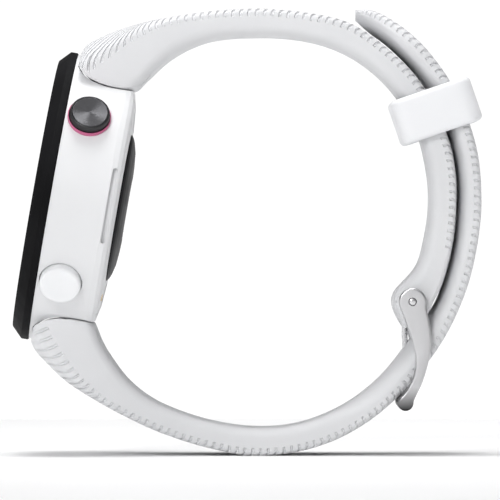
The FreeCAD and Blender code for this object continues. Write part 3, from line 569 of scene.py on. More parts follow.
def strap_mesh(name, side, tick, sign, arch0, arch1, grooves_from, groove_end, shoulder, tip=None, extra_rows=(), r_in=1.6, soft=None, lean0=0.0):
    """The whole strap as one closed grid. tick: (s, h) knots of the grooves' ends on the edge.
    shoulder: (s, width across) knots of the rounded edge. tip: (s of tip start, plan radius).
    soft: (s, run, share of the thickness, width across) of a fuller inner corner."""
    L = side.LO
    pitch, depth = 1.08, 0.24
    s0, rp = tip if tip else (L, 1.0)
    flat = max(9.98 - rp, 0.0)
    walk = (rp * math.pi / 2 + flat) * 1.08 if tip else 0.0
    Lp = s0 + walk                              # the edge's own length, round the tip to the middle
    u = []
    k = math.ceil(grooves_from / pitch)
    while k * pitch < (Lp if tip else groove_end):
        c = k * pitch
        u += [(c - 0.21, 0), (c - 0.10, 1), (c + 0.10, 1), (c + 0.21, 0), (c + 0.54, 0)]
        k += 1
    u = [q for q in u if q[0] < Lp - 0.05]
    rows = [(-999.0, 0), (0.04, 0), (0.10, 0)] + u
    s = u[-1][0]
    while s < Lp - 0.25:
        s += 0.35
        rows.append((min(s, Lp), 0))
    if rows[-1][0] < Lp - 1e-6:
        rows.append((Lp, 0))
    rows += [(q, 0) for q in extra_rows]
    rows.sort()
    U = np.array([r[0] for r in rows])
    G = np.array([r[1] for r in rows], float)
    R = len(U)

    def arch(uu):
        return arch0 + (arch1 - arch0) * smooth01(np.maximum(uu, 0) / 16.0)

    Uc = np.clip(U, 0, Lp)                      # where the row meets the strap's edge
    if tip is None:
        W = half_width(side.o(Uc)[:, 0])
        TH = np.zeros(R)
        SP = Uc
    else:
        SP, W, TH = np.zeros(R), np.zeros(R), np.zeros(R)
        scale = (L - s0) / rp
        for r_ in range(R):
            q = Uc[r_]
            if q <= s0:
                SP[r_], W[r_] = q, half_width(side.o([q])[0, 0])
                continue
            d = (q - s0) / walk * (rp * math.pi / 2 + flat)
            if d < rp * math.pi / 2:
                th = d / rp
                SP[r_], W[r_], TH[r_] = s0 + rp * math.sin(th) * scale, flat + rp * math.cos(th), th
            else:
                SP[r_], W[r_], TH[r_] = L, flat - (d - rp * math.pi / 2), math.pi / 2
    a_, b_, T = side.section(SP)
    h_end = np.interp(SP, [p[0] for p in tick], [p[1] for p in tick])
    sw = np.interp(SP, [p[0] for p in shoulder], [p[1] for p in shoulder])
    h_end = np.minimum(h_end, 0.50 * T)
    sd = np.maximum(np.minimum(h_end - 0.35, 0.42 * T), 0.02)
    ri = np.minimum(r_in, 0.36 * T)
    rl = ri * 1.35
    if soft:
        k = smooth01((SP - soft[0]) / soft[1])
        ri, rl = ri + (soft[2] * T - ri) * k, rl + (soft[3] - rl) * k
    h_end = np.minimum(h_end, 0.86 * (T - ri))
    sd = np.minimum(sd, 0.8 * h_end)
    W = np.maximum(W, 0)
    sw = np.minimum(sw, W)
    rl = np.minimum(rl, W)

    # Half section, from the middle of the outer face round to the middle of the inner one
    cols = []                                   # (across e measured from the edge, depth h, arched share, normal (across, in))
    for j in range(FACE_N):
        f = (j / FACE_N)
        cols.append(("face", f))
    for j in range(SHOULDER_N + 1):
        cols.append(("shoulder", j / SHOULDER_N * math.pi / 2))
    for f in (0.3, 0.62, 0.86, 1.0, 1.12):
        cols.append(("tick", f))
    for f in (0.33, 0.66):
        cols.append(("wall", f))
    for j in range(CORNER_N + 1):
        cols.append(("corner", j / CORNER_N * math.pi / 2))
    for j in range(1, INNER_N + 1):
        cols.append(("inner", j / INNER_N))
    NC = len(cols)
    Y = np.zeros((R, NC))
    E = np.zeros((R, NC))                       # distance in from the plan edge, along its normal
    H = np.zeros((R, NC))
    NA = np.zeros((R, NC))                      # outward normal: across share
    NH = np.zeros((R, NC))                      # outward normal: share along depth, positive outwards
    for j, (kind, f) in enumerate(cols):
        if kind == "face":
            E[:, j] = np.nan
            Y[:, j] = f
            NH[:, j] = 1
        elif kind == "shoulder":
            E[:, j] = sw * (1 - math.sin(f))
            H[:, j] = sd * (1 - math.cos(f))
            nx, nh = math.sin(f) * sd, math.cos(f) * sw
            n = np.maximum(np.hypot(nx, nh), 1e-9)
            NA[:, j], NH[:, j] = nx / n, nh / n
        elif kind == "tick":
            H[:, j] = sd + (h_end - sd) * f
            NA[:, j] = 1
        elif kind == "wall":
            a = sd + (h_end - sd) * 1.12
            H[:, j] = a + (T - ri - a) * f
            NA[:, j] = 1
        elif kind == "corner":
            E[:, j] = rl * (1 - math.cos(f))
            H[:, j] = T - ri * (1 - math.sin(f))
            NA[:, j], NH[:, j] = math.cos(f), -math.sin(f)
        else:
            E[:, j] = np.nan
            Y[:, j] = 1 - f
            H[:, j] = T
            NH[:, j] = -1
    # plan coordinates (p along, y across)
    sin_t, cos_t = np.sin(TH)[:, None], np.cos(TH)[:, None]
    P = np.where(np.isnan(E), 0, SP[:, None] - np.nan_to_num(E) * sin_t)
    Q = np.where(np.isnan(E), 0, W[:, None] - np.nan_to_num(E) * cos_t)
    face = [j for j, c in enumerate(cols) if c[0] == "face"]
    inner = [j for j, c in enumerate(cols) if c[0] == "inner"]
    j0, j1 = face[-1] + 1, inner[0] - 1
    for j in face:
        Q[:, j] = Q[:, j0] * Y[:, j]
        P[:, j] = P[:, j0]
    for j in inner:
        Q[:, j] = Q[:, j1] * Y[:, j]
        P[:, j] = P[:, j1]
    # arches: only from the edge inwards across the outer face and the shoulder
    wloc = np.maximum(W, 1e-6)[:, None]
    share = 1 - np.clip(Q / wloc, 0, 1) ** 3
    lean = (lean0 * (1 - smooth01(np.maximum(U, 0) / 12.0)))[:, None] * (W[:, None] > 0.5)
    run = np.clip(1 - H / np.maximum(h_end, 0.05)[:, None], 0, 1)
    lift = sign * arch(np.maximum(U, 0))[:, None] * (share * (1 - lean) + run * lean)
    arched = np.zeros((R, NC), bool)
    arched[:, :j0 + SHOULDER_N + 6] = True
    tipk = np.clip((L - SP) / 10.0, 0, 1)[:, None]
    S_arch = np.clip(P + np.where(U[:, None] < 0, np.where(U[:, None] < -900, 0, U[:, None]), 0) + lift * tipk, 0, L)
    S = np.where(arched, S_arch, np.clip(P, 0, L))
    S[0, :] = 0.0
    # the grooves themselves
    hh = np.abs(H)
    depth_mask = np.ones((R, NC))
    for j, (kind, f) in enumerate(cols):
        if kind == "tick":
            depth_mask[:, j] = [1, 1, 0.85, 0, 0][[0.3, 0.62, 0.86, 1.0, 1.12].index(f)]
        elif kind in ("wall", "corner", "inner"):
            depth_mask[:, j] = 0
    near_root = smooth01((S - 0.30) / 0.25)
    near_end = smooth01((L - S - 1.2) / 2.0)
    if tip is not None:
        for j, (kind, f) in enumerate(cols):
            if kind == "shoulder":
                near_end[:, j] += (1 - near_end[:, j]) * smooth01(f / (math.pi / 2))
            elif kind == "tick":
                near_end[:, j] = 1
    D = depth * G[:, None] * depth_mask * near_root * near_end
    # root edge: a small round all the way about
    EDGE = 0.16
    # thickness and depth at each point's own section
    _, _, Tl = side.section(S.ravel())
    Tl = Tl.reshape(S.shape)
    Trow = np.maximum(T[:, None], 1e-6)
    Hs = np.where(H > 0.5 * Trow, Tl - (Trow - H), H)
    Hs = np.clip(Hs, 0, Tl)
    inset = EDGE * (1 - np.sqrt(np.clip(1 - (1 - np.clip(S / EDGE, 0, 1)) ** 2, 0, 1)))
    Hn = Hs + NH * (D + inset)
    Qn = Q - NA * (D + inset) * np.where(TH[:, None] > 0, cos_t, 1.0)
    Sn = np.clip(S - NA * D * sin_t, 0, L)
    # follow the plan outline at the point's own place
    xloc = side.point(S, Hs / np.maximum(Tl, 1e-6))[..., 0]
    Qn = Qn * half_width(xloc) / half_width(side.o(SP)[:, 0])[:, None]
    Qn = np.maximum(Qn, 0)
    Qn[:, 0] = 0
    Qn[:, -1] = 0
    XZ = side.point(Sn, Hn / np.maximum(Tl, 1e-6))
    V = np.stack([XZ[..., 0], -Qn, XZ[..., 1]], -1)
    V2 = V.copy()
    V2[..., 1] *= -1
    ring = np.concatenate([V, V2[:, 1:-1][:, ::-1]], 1)
    n = ring.shape[1]
    verts = ring.reshape(-1, 3)
    faces = []
    for r_ in range(R - 1):
        base = r_ * n
        for j in range(n):
            k = (j + 1) % n
            faces.append((base + j, base + k, base + n + k, base + n + j))
    # root cap
    for j in range(NC - 1):
        a = j
        b = j + 1
        a2 = 0 if a == 0 else n - a
        b2 = n - b if b < NC - 1 else b
        q = [a, b, b2, a2]
        f = []
        for v in q:
            if v not in f:
                f.append(v)
        if len(f) > 2:
            faces.append(tuple(f))
    if tip is None:
        base = (R - 1) * n
        for j in range(NC - 1):
            a, b = j, j + 1
            a2 = 0 if a == 0 else n - a
            b2 = n - b if b < NC - 1 else b
            q = [base + a, base + a2, base + b2, base + b]
            f = []
            for v in q:
                if v not in f:
                    f.append(v)
            if len(f) > 2:
                faces.append(tuple(f))
    else:
        base = (R - 1) * n
        for j in range(NC - 1):
            a, b = j, j + 1
            a2 = 0 if a == 0 else n - a
            b2 = n - b if b < NC - 1 else b
            q = [base + a, base + a2, base + b2, base + b]
            f = []
            for v in q:
                if v not in f:
                    f.append(v)
            if len(f) > 2:
                faces.append(tuple(f))
    return build(name, verts, faces, M["silicone"], None, weld=0.012, sharp=40)


TICK_UP = [(0, 3.35), (0.31, 3.45), (3.02, 3.12), (4.88, 2.71), (6.36, 2.33), (7.8, 2.07), (9.04, 1.81), (10.3, 1.53), (11.39, 1.34),
           (12.53, 1.15), (13.55, 1.08), (30, 1.05), (58, 1.0), (80, 0.9), (120, 0.8)]
TICK_DN = [(0, 3.34), (0.32, 3.32), (1.08, 3.24), (1.86, 3.08), (2.59, 2.92), (3.36, 2.72), (4.35, 2.52), (5.18, 2.41), (6.04, 2.23), (7.2, 1.98),
           (8.11, 1.83), (8.93, 1.62), (10.05, 1.51), (10.95, 1.29), (11.8, 1.16), (12.73, 1.0), (13.65, 0.95), (30, 1.0), (120, 1.0)]
SHOULDER_UP = [(0, 5.0), (4, 3.6), (8, 2.2), (14, 1.0), (22, 0.8), (200, 0.8)]
SHOULDER_DN = [(0, 4.2), (4, 3.2), (8, 2.0), (14, 1.0), (22, 0.8), (200, 0.8)]

arc_out = [on_barrel(d) for d in (-24, -40, -56, -70)]
arc_in = [on_barrel(d) for d in (144, 160, 176, 190)]
up_outer = [tuple(PART_UP[0])] + UPPER_OUTER[1:] + [(25.85, 21.9), on_barrel(-8)] + arc_out + [(22.35, 17.78), (21.75, 17.3), (21.33, 17.12)]
up_inner = [tuple(PART_UP[-1])] + UPPER_INNER + [on_barrel(128)] + arc_in + [(20.12, 19.1), (20.55, 18.3), (20.98, 17.5), (21.33, 17.12)]
SIDE_UP = Side(up_outer, up_inner, PART_UP, 0.55)
dn_outer = [tuple(PART_DN[0])] + LOWER_OUTER[1:-1] + [(15.35, 60.40), (14.78, 60.20)]
dn_inner = [tuple(PART_DN[-1]), (-20.38, 17.25)] + LOWER_INNER[::-1][:-1] + [(15.50, 58.14), (14.78, 58.74)]
SIDE_DN = Side(dn_outer, dn_inner, PART_DN, 0.8)

strap_up = strap_mesh("strap_upper_grooved", SIDE_UP, TICK_UP, +1, 8.0, 2.0, -10.0, SIDE_UP.LO - 13.0, SHOULDER_UP, soft=(8.0, 10.0, 0.40, 2.2), lean0=0.45)
strap_dn = strap_mesh("strap_lower_grooved", SIDE_DN, TICK_DN, -1, 4.2, 2.0, 0.5, SIDE_DN.LO, SHOULDER_DN, tip=(SIDE_DN.LO - 11.8, 9.98), r_in=1.2, soft=(46.0, 9.0, 0.58, 5.5))


def tube(a, b, r, segs=28):
    """Verts and faces of a closed cylinder between two points (mm)."""
    a, b = np.asarray(a, float), np.asarray(b, float)
    d = (b - a) / np.linalg.norm(b - a)
    u = np.cross(d, (0, 0, 1)) if abs(d[2]) < 0.9 else np.cross(d, (1, 0, 0))
    u /= np.linalg.norm(u)
    v = np.cross(d, u)
    ang = np.linspace(0, 2 * math.pi, segs, endpoint=False)
    ringp = np.cos(ang)[:, None] * u * r + np.sin(ang)[:, None] * v * r
    return prism(a + ringp, b - a, None)


def box_in_head(x0, x1, y0, y1, z0, z1):
    o = head([(x0, y0, z0), (x1, y0, z0), (x1, y1, z0), (x0, y1, z0)])
    return prism(o, head([(0, 0, z1)])[0] - head([(0, 0, z0)])[0], None)


def oblong(centre, t, along, across, deep, segs=14):
    """A rounded slot cutter: centre (x, z), t the strap's direction there."""
    t = np.asarray(t, float)
    n = np.array([-t[1], t[0]])
    r = across / 2
    k = (along - across) / 2
    pts = []
    for i in range(segs + 1):
        a = -math.pi / 2 + math.pi * i / segs
        pts.append((k + r * math.cos(a), r * math.sin(a)))
    for i in range(segs + 1):
        a = math.pi / 2 + math.pi * i / segs
        pts.append((-k + r * math.cos(a), r * math.sin(a)))
    o = [(centre[0] + t[0] * p - n[0] * deep / 2, q, centre[1] + t[1] * p - n[1] * deep / 2) for p, q in pts]
    return prism(o, (n[0] * deep, 0, n[1] * deep), None)


# holes of the tail: the same places as in the solid strap
so = np.linspace(0, SIDE_DN.LO, 1200)
op = SIDE_DN.o(so)
s_use = so[np.argmin(np.hypot(op[:, 0] - 22.0, op[:, 1] - 9.5))]
cuts = []
for k in range(-4, 9):
    s = s_use + 5.8 * k
    if k == 0:
        continue
    c, t = SIDE_DN.o([s])[0], SIDE_DN.to([s])[0]
    cuts.append(oblong(c, t, 3.5, 2.3, 9.0))
boolean(strap_dn, cutter("holes", *merge(cuts)))

TONGUE_PATH = [(22.05, 20.25), (21.60, 19.2), (21.45, 18.0), (21.44, 16.15), (21.59, 13.71), (21.86, 11.4), (22.10, 9.3), (22.10, 8.0), (21.85, 6.95)]


def turn_about_pin(p, deg):
    a = math.radians(-deg)
    dx, dz = p[0] - PIN[0], p[1] - PIN[1]
    return (PIN[0] + dx * math.cos(a) - dz * math.sin(a), PIN[1] + dx * math.sin(a) + dz * math.cos(a))


# the hole in use: slanted, wide enough for the tongue to lift
low = [p for p in TONGUE_PATH if p[1] < 17]
leftp, rightp = [], []
for i, p in enumerate(low):
    a, b = low[max(i - 1, 0)], low[min(i + 1, len(low) - 1)]
    t = np.array([b[0] - a[0], b[1] - a[1]])
    t /= np.linalg.norm(t)
    n = np.array([-t[1], t[0]])
    leftp.append(np.array(p) + n * 0.60)
    rightp.append(np.array(p) - n * 0.60)
right_side = [tuple(p) for p in leftp]
left_side = [tuple(p) for p in rightp]
if right_side[2][0] < left_side[2][0]:
    right_side, left_side = left_side, right_side
lifted = [turn_about_pin(p, -6.0) for p in right_side]
if lifted[-2][0] < right_side[-2][0]:
    lifted = [turn_about_pin(p, 6.0) for p in right_side]
left_side = [turn_about_pin(p, 0.6 if lifted == [turn_about_pin(q, -6.0) for q in right_side] else -0.6) for p in left_side]
end_l = (left_side[-1][0] - 0.25, left_side[-1][1] - 1.2)
end_r = (lifted[-1][0] + 0.25, lifted[-1][1] - 1.2)
outline = left_side + [end_l, end_r] + lifted[::-1]
boolean(strap_dn, cutter("hole_in_use", *prism([(x, -1.3, z) for x, z in outline], (0, 2.6, 0), None)))

for ob, sy in ((strap_up, 1), (strap_dn, -1)):
    parts = [tube(head([(-9, sy * BAR_Y, BAR_Z)])[0], head([(9, sy * BAR_Y, BAR_Z)])[0], 0.8)]
    boolean(ob, cutter("bar_bore", *merge(parts)))
    boolean(ob, cutter("lever_window", *box_in_head(4.1, 7.1, sy * BAR_Y - 0.8, sy * BAR_Y + 0.8, -11.6, BAR_Z)))
    for sx in (1, -1):
        x0, x1 = sorted((sx * 8.5, sx * 10.5))
        ang = np.linspace(-math.pi / 2, math.pi / 2, 13)
        yz = [(sy * BAR_Y + sy * 1.7 * math.cos(a), BAR_Z + 1.7 * math.sin(a)) for a in ang]
        yz = [(sy * 14.6, BAR_Z - 1.7)] + yz + [(sy * 14.6, BAR_Z + 1.7)]
        o = head([(x0, y, z) for y, z in yz])
        boolean(ob, cutter("horn_pocket", *prism(o, head([(x1, 0, 0)])[0] - head([(x0, 0, 0)])[0], None)))
boolean(strap_up, cutter("pin_bore", *tube((PIN[0], -15, PIN[1]), (PIN[0], 15, PIN[1]), 0.54)))
boolean(strap_up, cutter("tongue_slot", *prism([(PIN[0] - 5, -1.4, PIN[1] - 4.6), (PIN[0] + 4, -1.4, PIN[1] - 4.6), (PIN[0] + 4, -1.4, PIN[1] + 1.6), (PIN[0] - 5, -1.4, PIN[1] + 1.6)], (0, 2.8, 0), None)))
for ob, node in ((strap_up, "strap_upper"), (strap_dn, "strap_lower")):
    finish_mesh(ob, 40)
    if not ob.data.materials:
        ob.data.materials.append(M["silicone"])
    dress(ob, "watch", (node,))

# ------------------------------------------------------------------ keeper
def keeper_ring():
    ax, hy, gap, hin = KEEPER_ACROSS / 2, KEEPER_OUT, KEEPER_GAP / 2, KEEPER_IN
    ca, sa = math.cos(KEEPER_ANG), math.sin(KEEPER_ANG)

    def round_rect(a, b, r, n=10):
        pts, nrm = [], []
        for cx, cy, t0 in ((a - r, b - r, 0), (-(a - r), b - r, 90), (-(a - r), -(b - r), 180), (a - r, -(b - r), 270)):
            for i in range(n + 1):
                t = math.radians(t0 + 90 * i / n)
                pts.append((cx + r * math.cos(t), cy + r * math.sin(t)))
                nrm.append((math.cos(t), math.sin(t)))
        return np.array(pts), np.array(nrm)

    def densify(p, q, step=1.2):
        """Add points to the long straight runs of two matched loops."""
        P, Q = [], []
        for i in range(len(p)):
            j = (i + 1) % len(p)
            d = max(np.linalg.norm(p[j] - p[i]), 1e-9)
            n = max(1, int(d / step))
            for k in range(n):
                P.append(p[i] + (p[j] - p[i]) * k / n)
                Q.append(q[i] + (q[j] - q[i]) * k / n)
        return np.array(P), np.array(Q)

    po, no = round_rect(ax, hy, 2.0)
    pi_, ni = round_rect(gap, hin, 0.5)
    P, Q = densify(po, pi_)
    half = KEEPER_ALONG / 2
    prof = []                                   # (share 0 outer .. 1 inner, inset from that face, along)
    ro, ri = 0.72, 0.30
    for i in range(9):
        a = math.pi / 2 * i / 8
        prof.append(("o", ro * (1 - math.sin(a)), -half + ro * (1 - math.cos(a))))
    prof = prof[::-1]
    # outer face from -half+ro to half-ro, round the corner, end face, inner corner, inner face
    seq = []
    for i in range(9):
        a = math.pi / 2 * i / 8
        seq.append(("o", ro * (1 - math.cos(a)), half - ro + ro * math.sin(a)))
    seq.append(("m", 0.5, half))
    for i in range(5):
        a = math.pi / 2 * i / 4
        seq.append(("i", ri * (1 - math.sin(a)), half - ri + ri * math.cos(a)))
    full = [("o", 0, 0.0), ("o", 0, half * 0.4)] + seq + [("i", 0, half * 0.4), ("i", 0, 0.0)]
    full += [(k, d, -l) for k, d, l in reversed(full[1:-1])]
    rings = []
    D = P - Q
    T = np.linalg.norm(D, axis=1)[:, None]
    for kind, d, l in full:
        if kind == "o":
            r2 = P - D / T * np.minimum(d, T * 0.6)
        elif kind == "m":
            r2 = (P - D / T * np.minimum(ro, T * 0.6)) * 0.5 + (Q + D / T * ri) * 0.5
        else:
            r2 = Q + D / T * d
        x, y = r2[:, 0], r2[:, 1]
        # place the ring in the keeper's tilted plane
        X = KEEPER_C[0] + x * ca - l * sa * 1.0
        Z = KEEPER_C[1] + x * sa + l * ca
        rings.append(np.c_[X, y, Z])
    rings.append(rings[0])
    return rings


rings = keeper_ring()
keeper = loops("keeper_loop", rings, M["keeper"], "strap_keeper", replaces=("keeper",), slot="strap_silicone", weld=0.002, sharp=45)

# ------------------------------------------------------------------ buckle
PLATE = [(20.76, 19.70), (20.65, 19.90), (20.56, 20.11), (20.50, 20.32), (20.47, 20.54), (20.46, 20.76), (20.48, 20.99), (20.52, 21.21), (20.59, 21.42), (20.69, 21.62), (20.81, 21.81), (20.95, 21.98), (21.11, 22.14), (21.29, 22.28), (21.48, 22.39), (21.68, 22.48), (21.90, 22.55), (22.12, 22.59), (22.34, 22.60), (22.57, 22.59), (22.80, 22.54), (23.02, 22.48), (23.22, 22.38), (23.42, 22.26), (23.60, 22.12), (23.76, 21.95), (23.90, 21.77), (24.02, 21.57), (24.11, 21.36), (24.17, 21.14), (24.21, 20.91), (24.22, 20.68), (24.20, 20.45), (24.15, 20.23), (24.20, 19.98), (24.25, 19.74), (24.30, 19.50), (24.35, 19.28), (24.39, 19.06), (24.44, 18.84), (24.48, 18.62), (24.53, 18.40), (24.57, 18.18), (24.61, 17.96), (24.64, 17.75), (24.68, 17.53), (24.72, 17.31), (24.76, 17.09), (24.77, 16.86), (24.78, 16.64), (24.79, 16.41), (24.81, 16.19), (24.82, 15.96), (24.83, 15.74), (24.84, 15.51), (24.82, 15.29), (24.80, 15.06), (24.78, 14.84), (24.77, 14.61), (24.75, 14.39), (24.73, 14.16), (24.71, 13.94), (24.67, 13.72), (24.63, 13.49), (24.59, 13.27), (24.54, 13.04), (24.50, 12.82), (24.46, 12.59), (24.42, 12.37), (24.36, 12.14), (24.30, 11.92), (24.23, 11.69), (24.17, 11.46), (24.11, 11.24), (24.05, 11.01), (23.98, 10.80), (23.90, 10.60), (23.83, 10.39), (23.75, 10.18), (23.68, 9.97), (23.60, 9.77), (23.53, 9.56), (23.43, 9.35), (23.32, 9.14), (23.21, 8.94), (23.11, 8.73), (23.00, 8.52), (22.90, 8.31), (22.79, 8.07), (22.68, 7.83), (22.57, 7.60), (22.45, 7.36), (22.48, 7.14), (22.46, 6.92), (22.40, 6.71), (22.29, 6.51), (22.15, 6.34), (21.97, 6.21), (21.78, 6.11), (21.56, 6.05), (21.34, 6.04), (21.12, 6.08), (20.91, 6.16), (20.73, 6.27), (20.57, 6.43), (20.45, 6.61), (20.36, 6.82), (20.32, 7.04), (20.33, 7.26), (20.38, 7.47), (20.47, 7.67), (20.60, 7.85), (20.77, 8.00), (20.96, 8.11), (21.14, 8.32), (21.33, 8.54), (21.51, 8.76), (21.62, 8.96), (21.73, 9.17), (21.84, 9.37), (21.95, 9.58), (22.06, 9.78), (22.16, 10.00), (22.26, 10.22), (22.36, 10.45), (22.46, 10.67), (22.52, 10.93), (22.57, 11.18), (22.63, 11.44), (22.69, 11.69), (22.71, 11.91), (22.73, 12.13), (22.75, 12.36), (22.77, 12.58), (22.76, 12.81), (22.74, 13.03), (22.73, 13.26), (22.71, 13.48), (22.70, 13.71), (22.65, 13.93), (22.60, 14.16), (22.56, 14.38), (22.51, 14.61), (22.46, 14.83), (22.39, 15.06), (22.32, 15.28), (22.25, 15.51), (22.17, 15.73), (22.10, 15.96), (22.03, 16.18), (21.96, 16.41), (21.87, 16.66), (21.78, 16.91), (21.69, 17.15), (21.60, 17.40), (21.52, 17.64), (21.44, 17.88), (21.36, 18.12), (21.28, 18.36), (21.20, 18.60), (21.11, 18.82), (21.02, 19.04), (20.93, 19.26), (20.85, 19.48)]
TONGUE = [(21.50, 19.89), (21.37, 20.05), (21.26, 20.24), (21.19, 20.44), (21.16, 20.65), (21.17, 20.86), (21.21, 21.07), (21.30, 21.27), (21.41, 21.45), (21.56, 21.60), (21.73, 21.73), (21.92, 21.82), (22.13, 21.88), (22.34, 21.90), (22.54, 21.88), (22.74, 21.83), (22.93, 21.74), (23.10, 21.62), (23.24, 21.48), (23.36, 21.31), (23.45, 21.13), (23.50, 20.93), (23.52, 20.73), (23.50, 20.52), (23.45, 20.32), (23.36, 20.14), (23.25, 19.97), (23.10, 19.82), (22.94, 19.70), (22.75, 19.61), (22.55, 19.56), (22.35, 19.54), (22.14, 19.56), (22.06, 19.33), (21.97, 19.10), (21.94, 18.88), (21.91, 18.65), (21.89, 18.43), (21.86, 18.20), (21.83, 17.98), (21.83, 17.78), (21.83, 17.58), (21.83, 17.37), (21.82, 17.17), (21.82, 16.97), (21.82, 16.77), (21.82, 16.57), (21.82, 16.36), (21.82, 16.16), (21.83, 15.96), (21.84, 15.76), (21.86, 15.56), (21.87, 15.36), (21.88, 15.15), (21.89, 14.95), (21.91, 14.75), (21.92, 14.55), (21.93, 14.35), (21.94, 14.15), (21.96, 13.95), (21.97, 13.74), (21.99, 13.53), (22.02, 13.32), (22.04, 13.12), (22.07, 12.91), (22.09, 12.70), (22.11, 12.49), (22.14, 12.28), (22.16, 12.07), (22.19, 11.86), (22.21, 11.65), (22.24, 11.44), (22.26, 11.23), (22.29, 11.02), (22.31, 10.81), (22.33, 10.60), (22.36, 10.38), (22.38, 10.17), (22.41, 9.96), (22.43, 9.75), (22.45, 9.54), (22.48, 9.33), (22.48, 9.10), (22.47, 8.87), (22.47, 8.64), (22.47, 8.42), (22.46, 8.19), (22.46, 7.96), (22.39, 7.75), (22.33, 7.53), (22.26, 7.32), (22.19, 7.10), (22.13, 6.88), (21.85, 6.95), (21.57, 7.02), (21.61, 7.22), (21.64, 7.42), (21.67, 7.63), (21.71, 7.83), (21.74, 8.04), (21.74, 8.24), (21.73, 8.45), (21.73, 8.66), (21.73, 8.86), (21.72, 9.07), (21.72, 9.27), (21.70, 9.48), (21.67, 9.69), (21.65, 9.90), (21.63, 10.11), (21.60, 10.31), (21.58, 10.52), (21.55, 10.73), (21.53, 10.94), (21.51, 11.15), (21.48, 11.36), (21.46, 11.57), (21.43, 11.78), (21.41, 11.99), (21.38, 12.20), (21.36, 12.41), (21.34, 12.62), (21.31, 12.83), (21.29, 13.04), (21.26, 13.26), (21.24, 13.47), (21.21, 13.68), (21.20, 13.88), (21.19, 14.09), (21.17, 14.29), (21.16, 14.50), (21.15, 14.70), (21.14, 14.91), (21.12, 15.11), (21.11, 15.32), (21.10, 15.52), (21.09, 15.73), (21.07, 15.93), (21.06, 16.14), (21.06, 16.35), (21.06, 16.56), (21.06, 16.77), (21.07, 16.97), (21.07, 17.18), (21.07, 17.39), (21.07, 17.60), (21.07, 17.81), (21.07, 18.02), (21.10, 18.23), (21.12, 18.45), (21.15, 18.66), (21.18, 18.87), (21.21, 19.09), (21.23, 19.30), (21.32, 19.49), (21.41, 19.69)]


def fair_loop(p, sigma, step=0.15):
    """Even points round a closed outline, with its corners eased."""
    p = np.asarray(p, float)
    c = np.concatenate([p, p[:1]])
    t = length(c)
    n = int(t[-1] / step)
    q = np.linspace(0, t[-1], n, endpoint=False)
    r = np.c_[np.interp(q, t, c[:, 0]), np.interp(q, t, c[:, 1])]
    k = int(3 * sigma / step)
    w = np.exp(-0.5 * (np.arange(-k, k + 1) * step / sigma) ** 2)
    w /= w.sum()
    pad = np.concatenate([r[-k:], r, r[:k]])
    return np.c_[[np.convolve(pad[:, i], w, "valid") for i in range(2)]].T


def plate_rings(outline, y0, y1, b0, b1, steps=4):
    """Rings of a plate from y0 to y1 with rounded edges b0 and b1 in the outline plane."""
    p = np.asarray(outline, float)
    nxt, prv = np.roll(p, -1, 0), np.roll(p, 1, 0)
    t = nxt - prv
    t /= np.linalg.norm(t, axis=1)[:, None]
    area = 0.5 * np.sum(p[:, 0] * nxt[:, 1] - nxt[:, 0] * p[:, 1])
    n = np.c_[t[:, 1], -t[:, 0]] * (1 if area > 0 else -1)      # outward
    sgn = 1 if y1 > y0 else -1
    out = []
    for i in range(steps + 1):
        a = math.pi / 2 * i / steps
        d = b0 * (1 - math.sin(a))
        r = p - n * d
        out.append(np.c_[r[:, 0], np.full(len(p), y0 + sgn * b0 * 0.8 * (1 - math.cos(a))), r[:, 1]])
    for i in range(steps + 1):
        a = math.pi / 2 * i / steps
        d = b1 * (1 - math.cos(a))
        r = p - n * d
        out.append(np.c_[r[:, 0], np.full(len(p), y1 - sgn * b1 * 0.8 * (1 - math.sin(a))), r[:, 1]])
    return out


plate_o = fair_loop(PLATE, 0.22)
tongue_o = fair_loop(TONGUE, 0.12, 0.1)
left = loops("buckle_bow_steel", plate_rings(plate_o, -PLATE_IN, -PLATE_OUT, 0.12, 0.34, 5), M["steel_plate"], None, cap=(True, True), sharp=30)
right = loops("buckle_right", plate_rings(plate_o, PLATE_IN, PLATE_OUT, 0.12, 0.34, 5), M["steel_plate"], None, cap=(True, True), sharp=30)
boolean(left, right, "UNION")
bar = cutter("bar", *tube((ENDBAR[0], -11.0, ENDBAR[1]), (ENDBAR[0], 11.0, ENDBAR[1]), ENDBAR_R - 0.01, 48))
boolean(left, bar, "UNION")
for sy in (1, -1):
    boolean(left, cutter("pin_hole", *tube((PIN[0], sy * 9, PIN[1]), (PIN[0], sy * 13, PIN[1]), 0.56, 32)))
notch = []
for i in range(7):
    a = -0.9 + i * 0.3
boolean(left, cutter("rest", *prism([(20.95, -1.3, 8.6), (20.95, -1.3, 5.6), (23.6, -1.3, 5.6), (23.6, -1.3, 8.6)], (0, 2.6, 0), None)))
finish_mesh(left, 30)
bow = left
dress(bow, "buckle_bow", ("buckle_frame",))

rings = plate_rings(tongue_o, -1.1, 1.1, 0.13, 0.13, 4)
tong = loops("buckle_tongue_steel", rings, M["steel"], None, cap=(True, True), sharp=35)
boolean(tong, cutter("loop_hole", *tube((PIN[0], -3, PIN[1]), (PIN[0], 3, PIN[1]), 0.55, 32)))
finish_mesh(tong, 35)
dress(tong, "tongue", ("buckle_tongue",))


def along_y(c):
    """Local z becomes world Y through the point c (x, z)."""
    def f(p):
        p = np.atleast_2d(p)
        return np.c_[c[0] + p[:, 0], p[:, 2], c[1] + p[:, 1]]
    return f


pin_prof = [(0, -PLATE_OUT), (0.40, -PLATE_OUT), (0.45, -PLATE_OUT + 0.03), (PIN_R, -PLATE_OUT + 0.12), (PIN_R, PLATE_OUT - 0.12),
            (0.45, PLATE_OUT - 0.03), (0.40, PLATE_OUT), (0, PLATE_OUT)]
lathe("buckle_pin_steel", pin_prof, M["steel"], "watch", along_y(PIN), 32, replaces=("buckle_pin",), slot="buckle_steel", sharp=40)

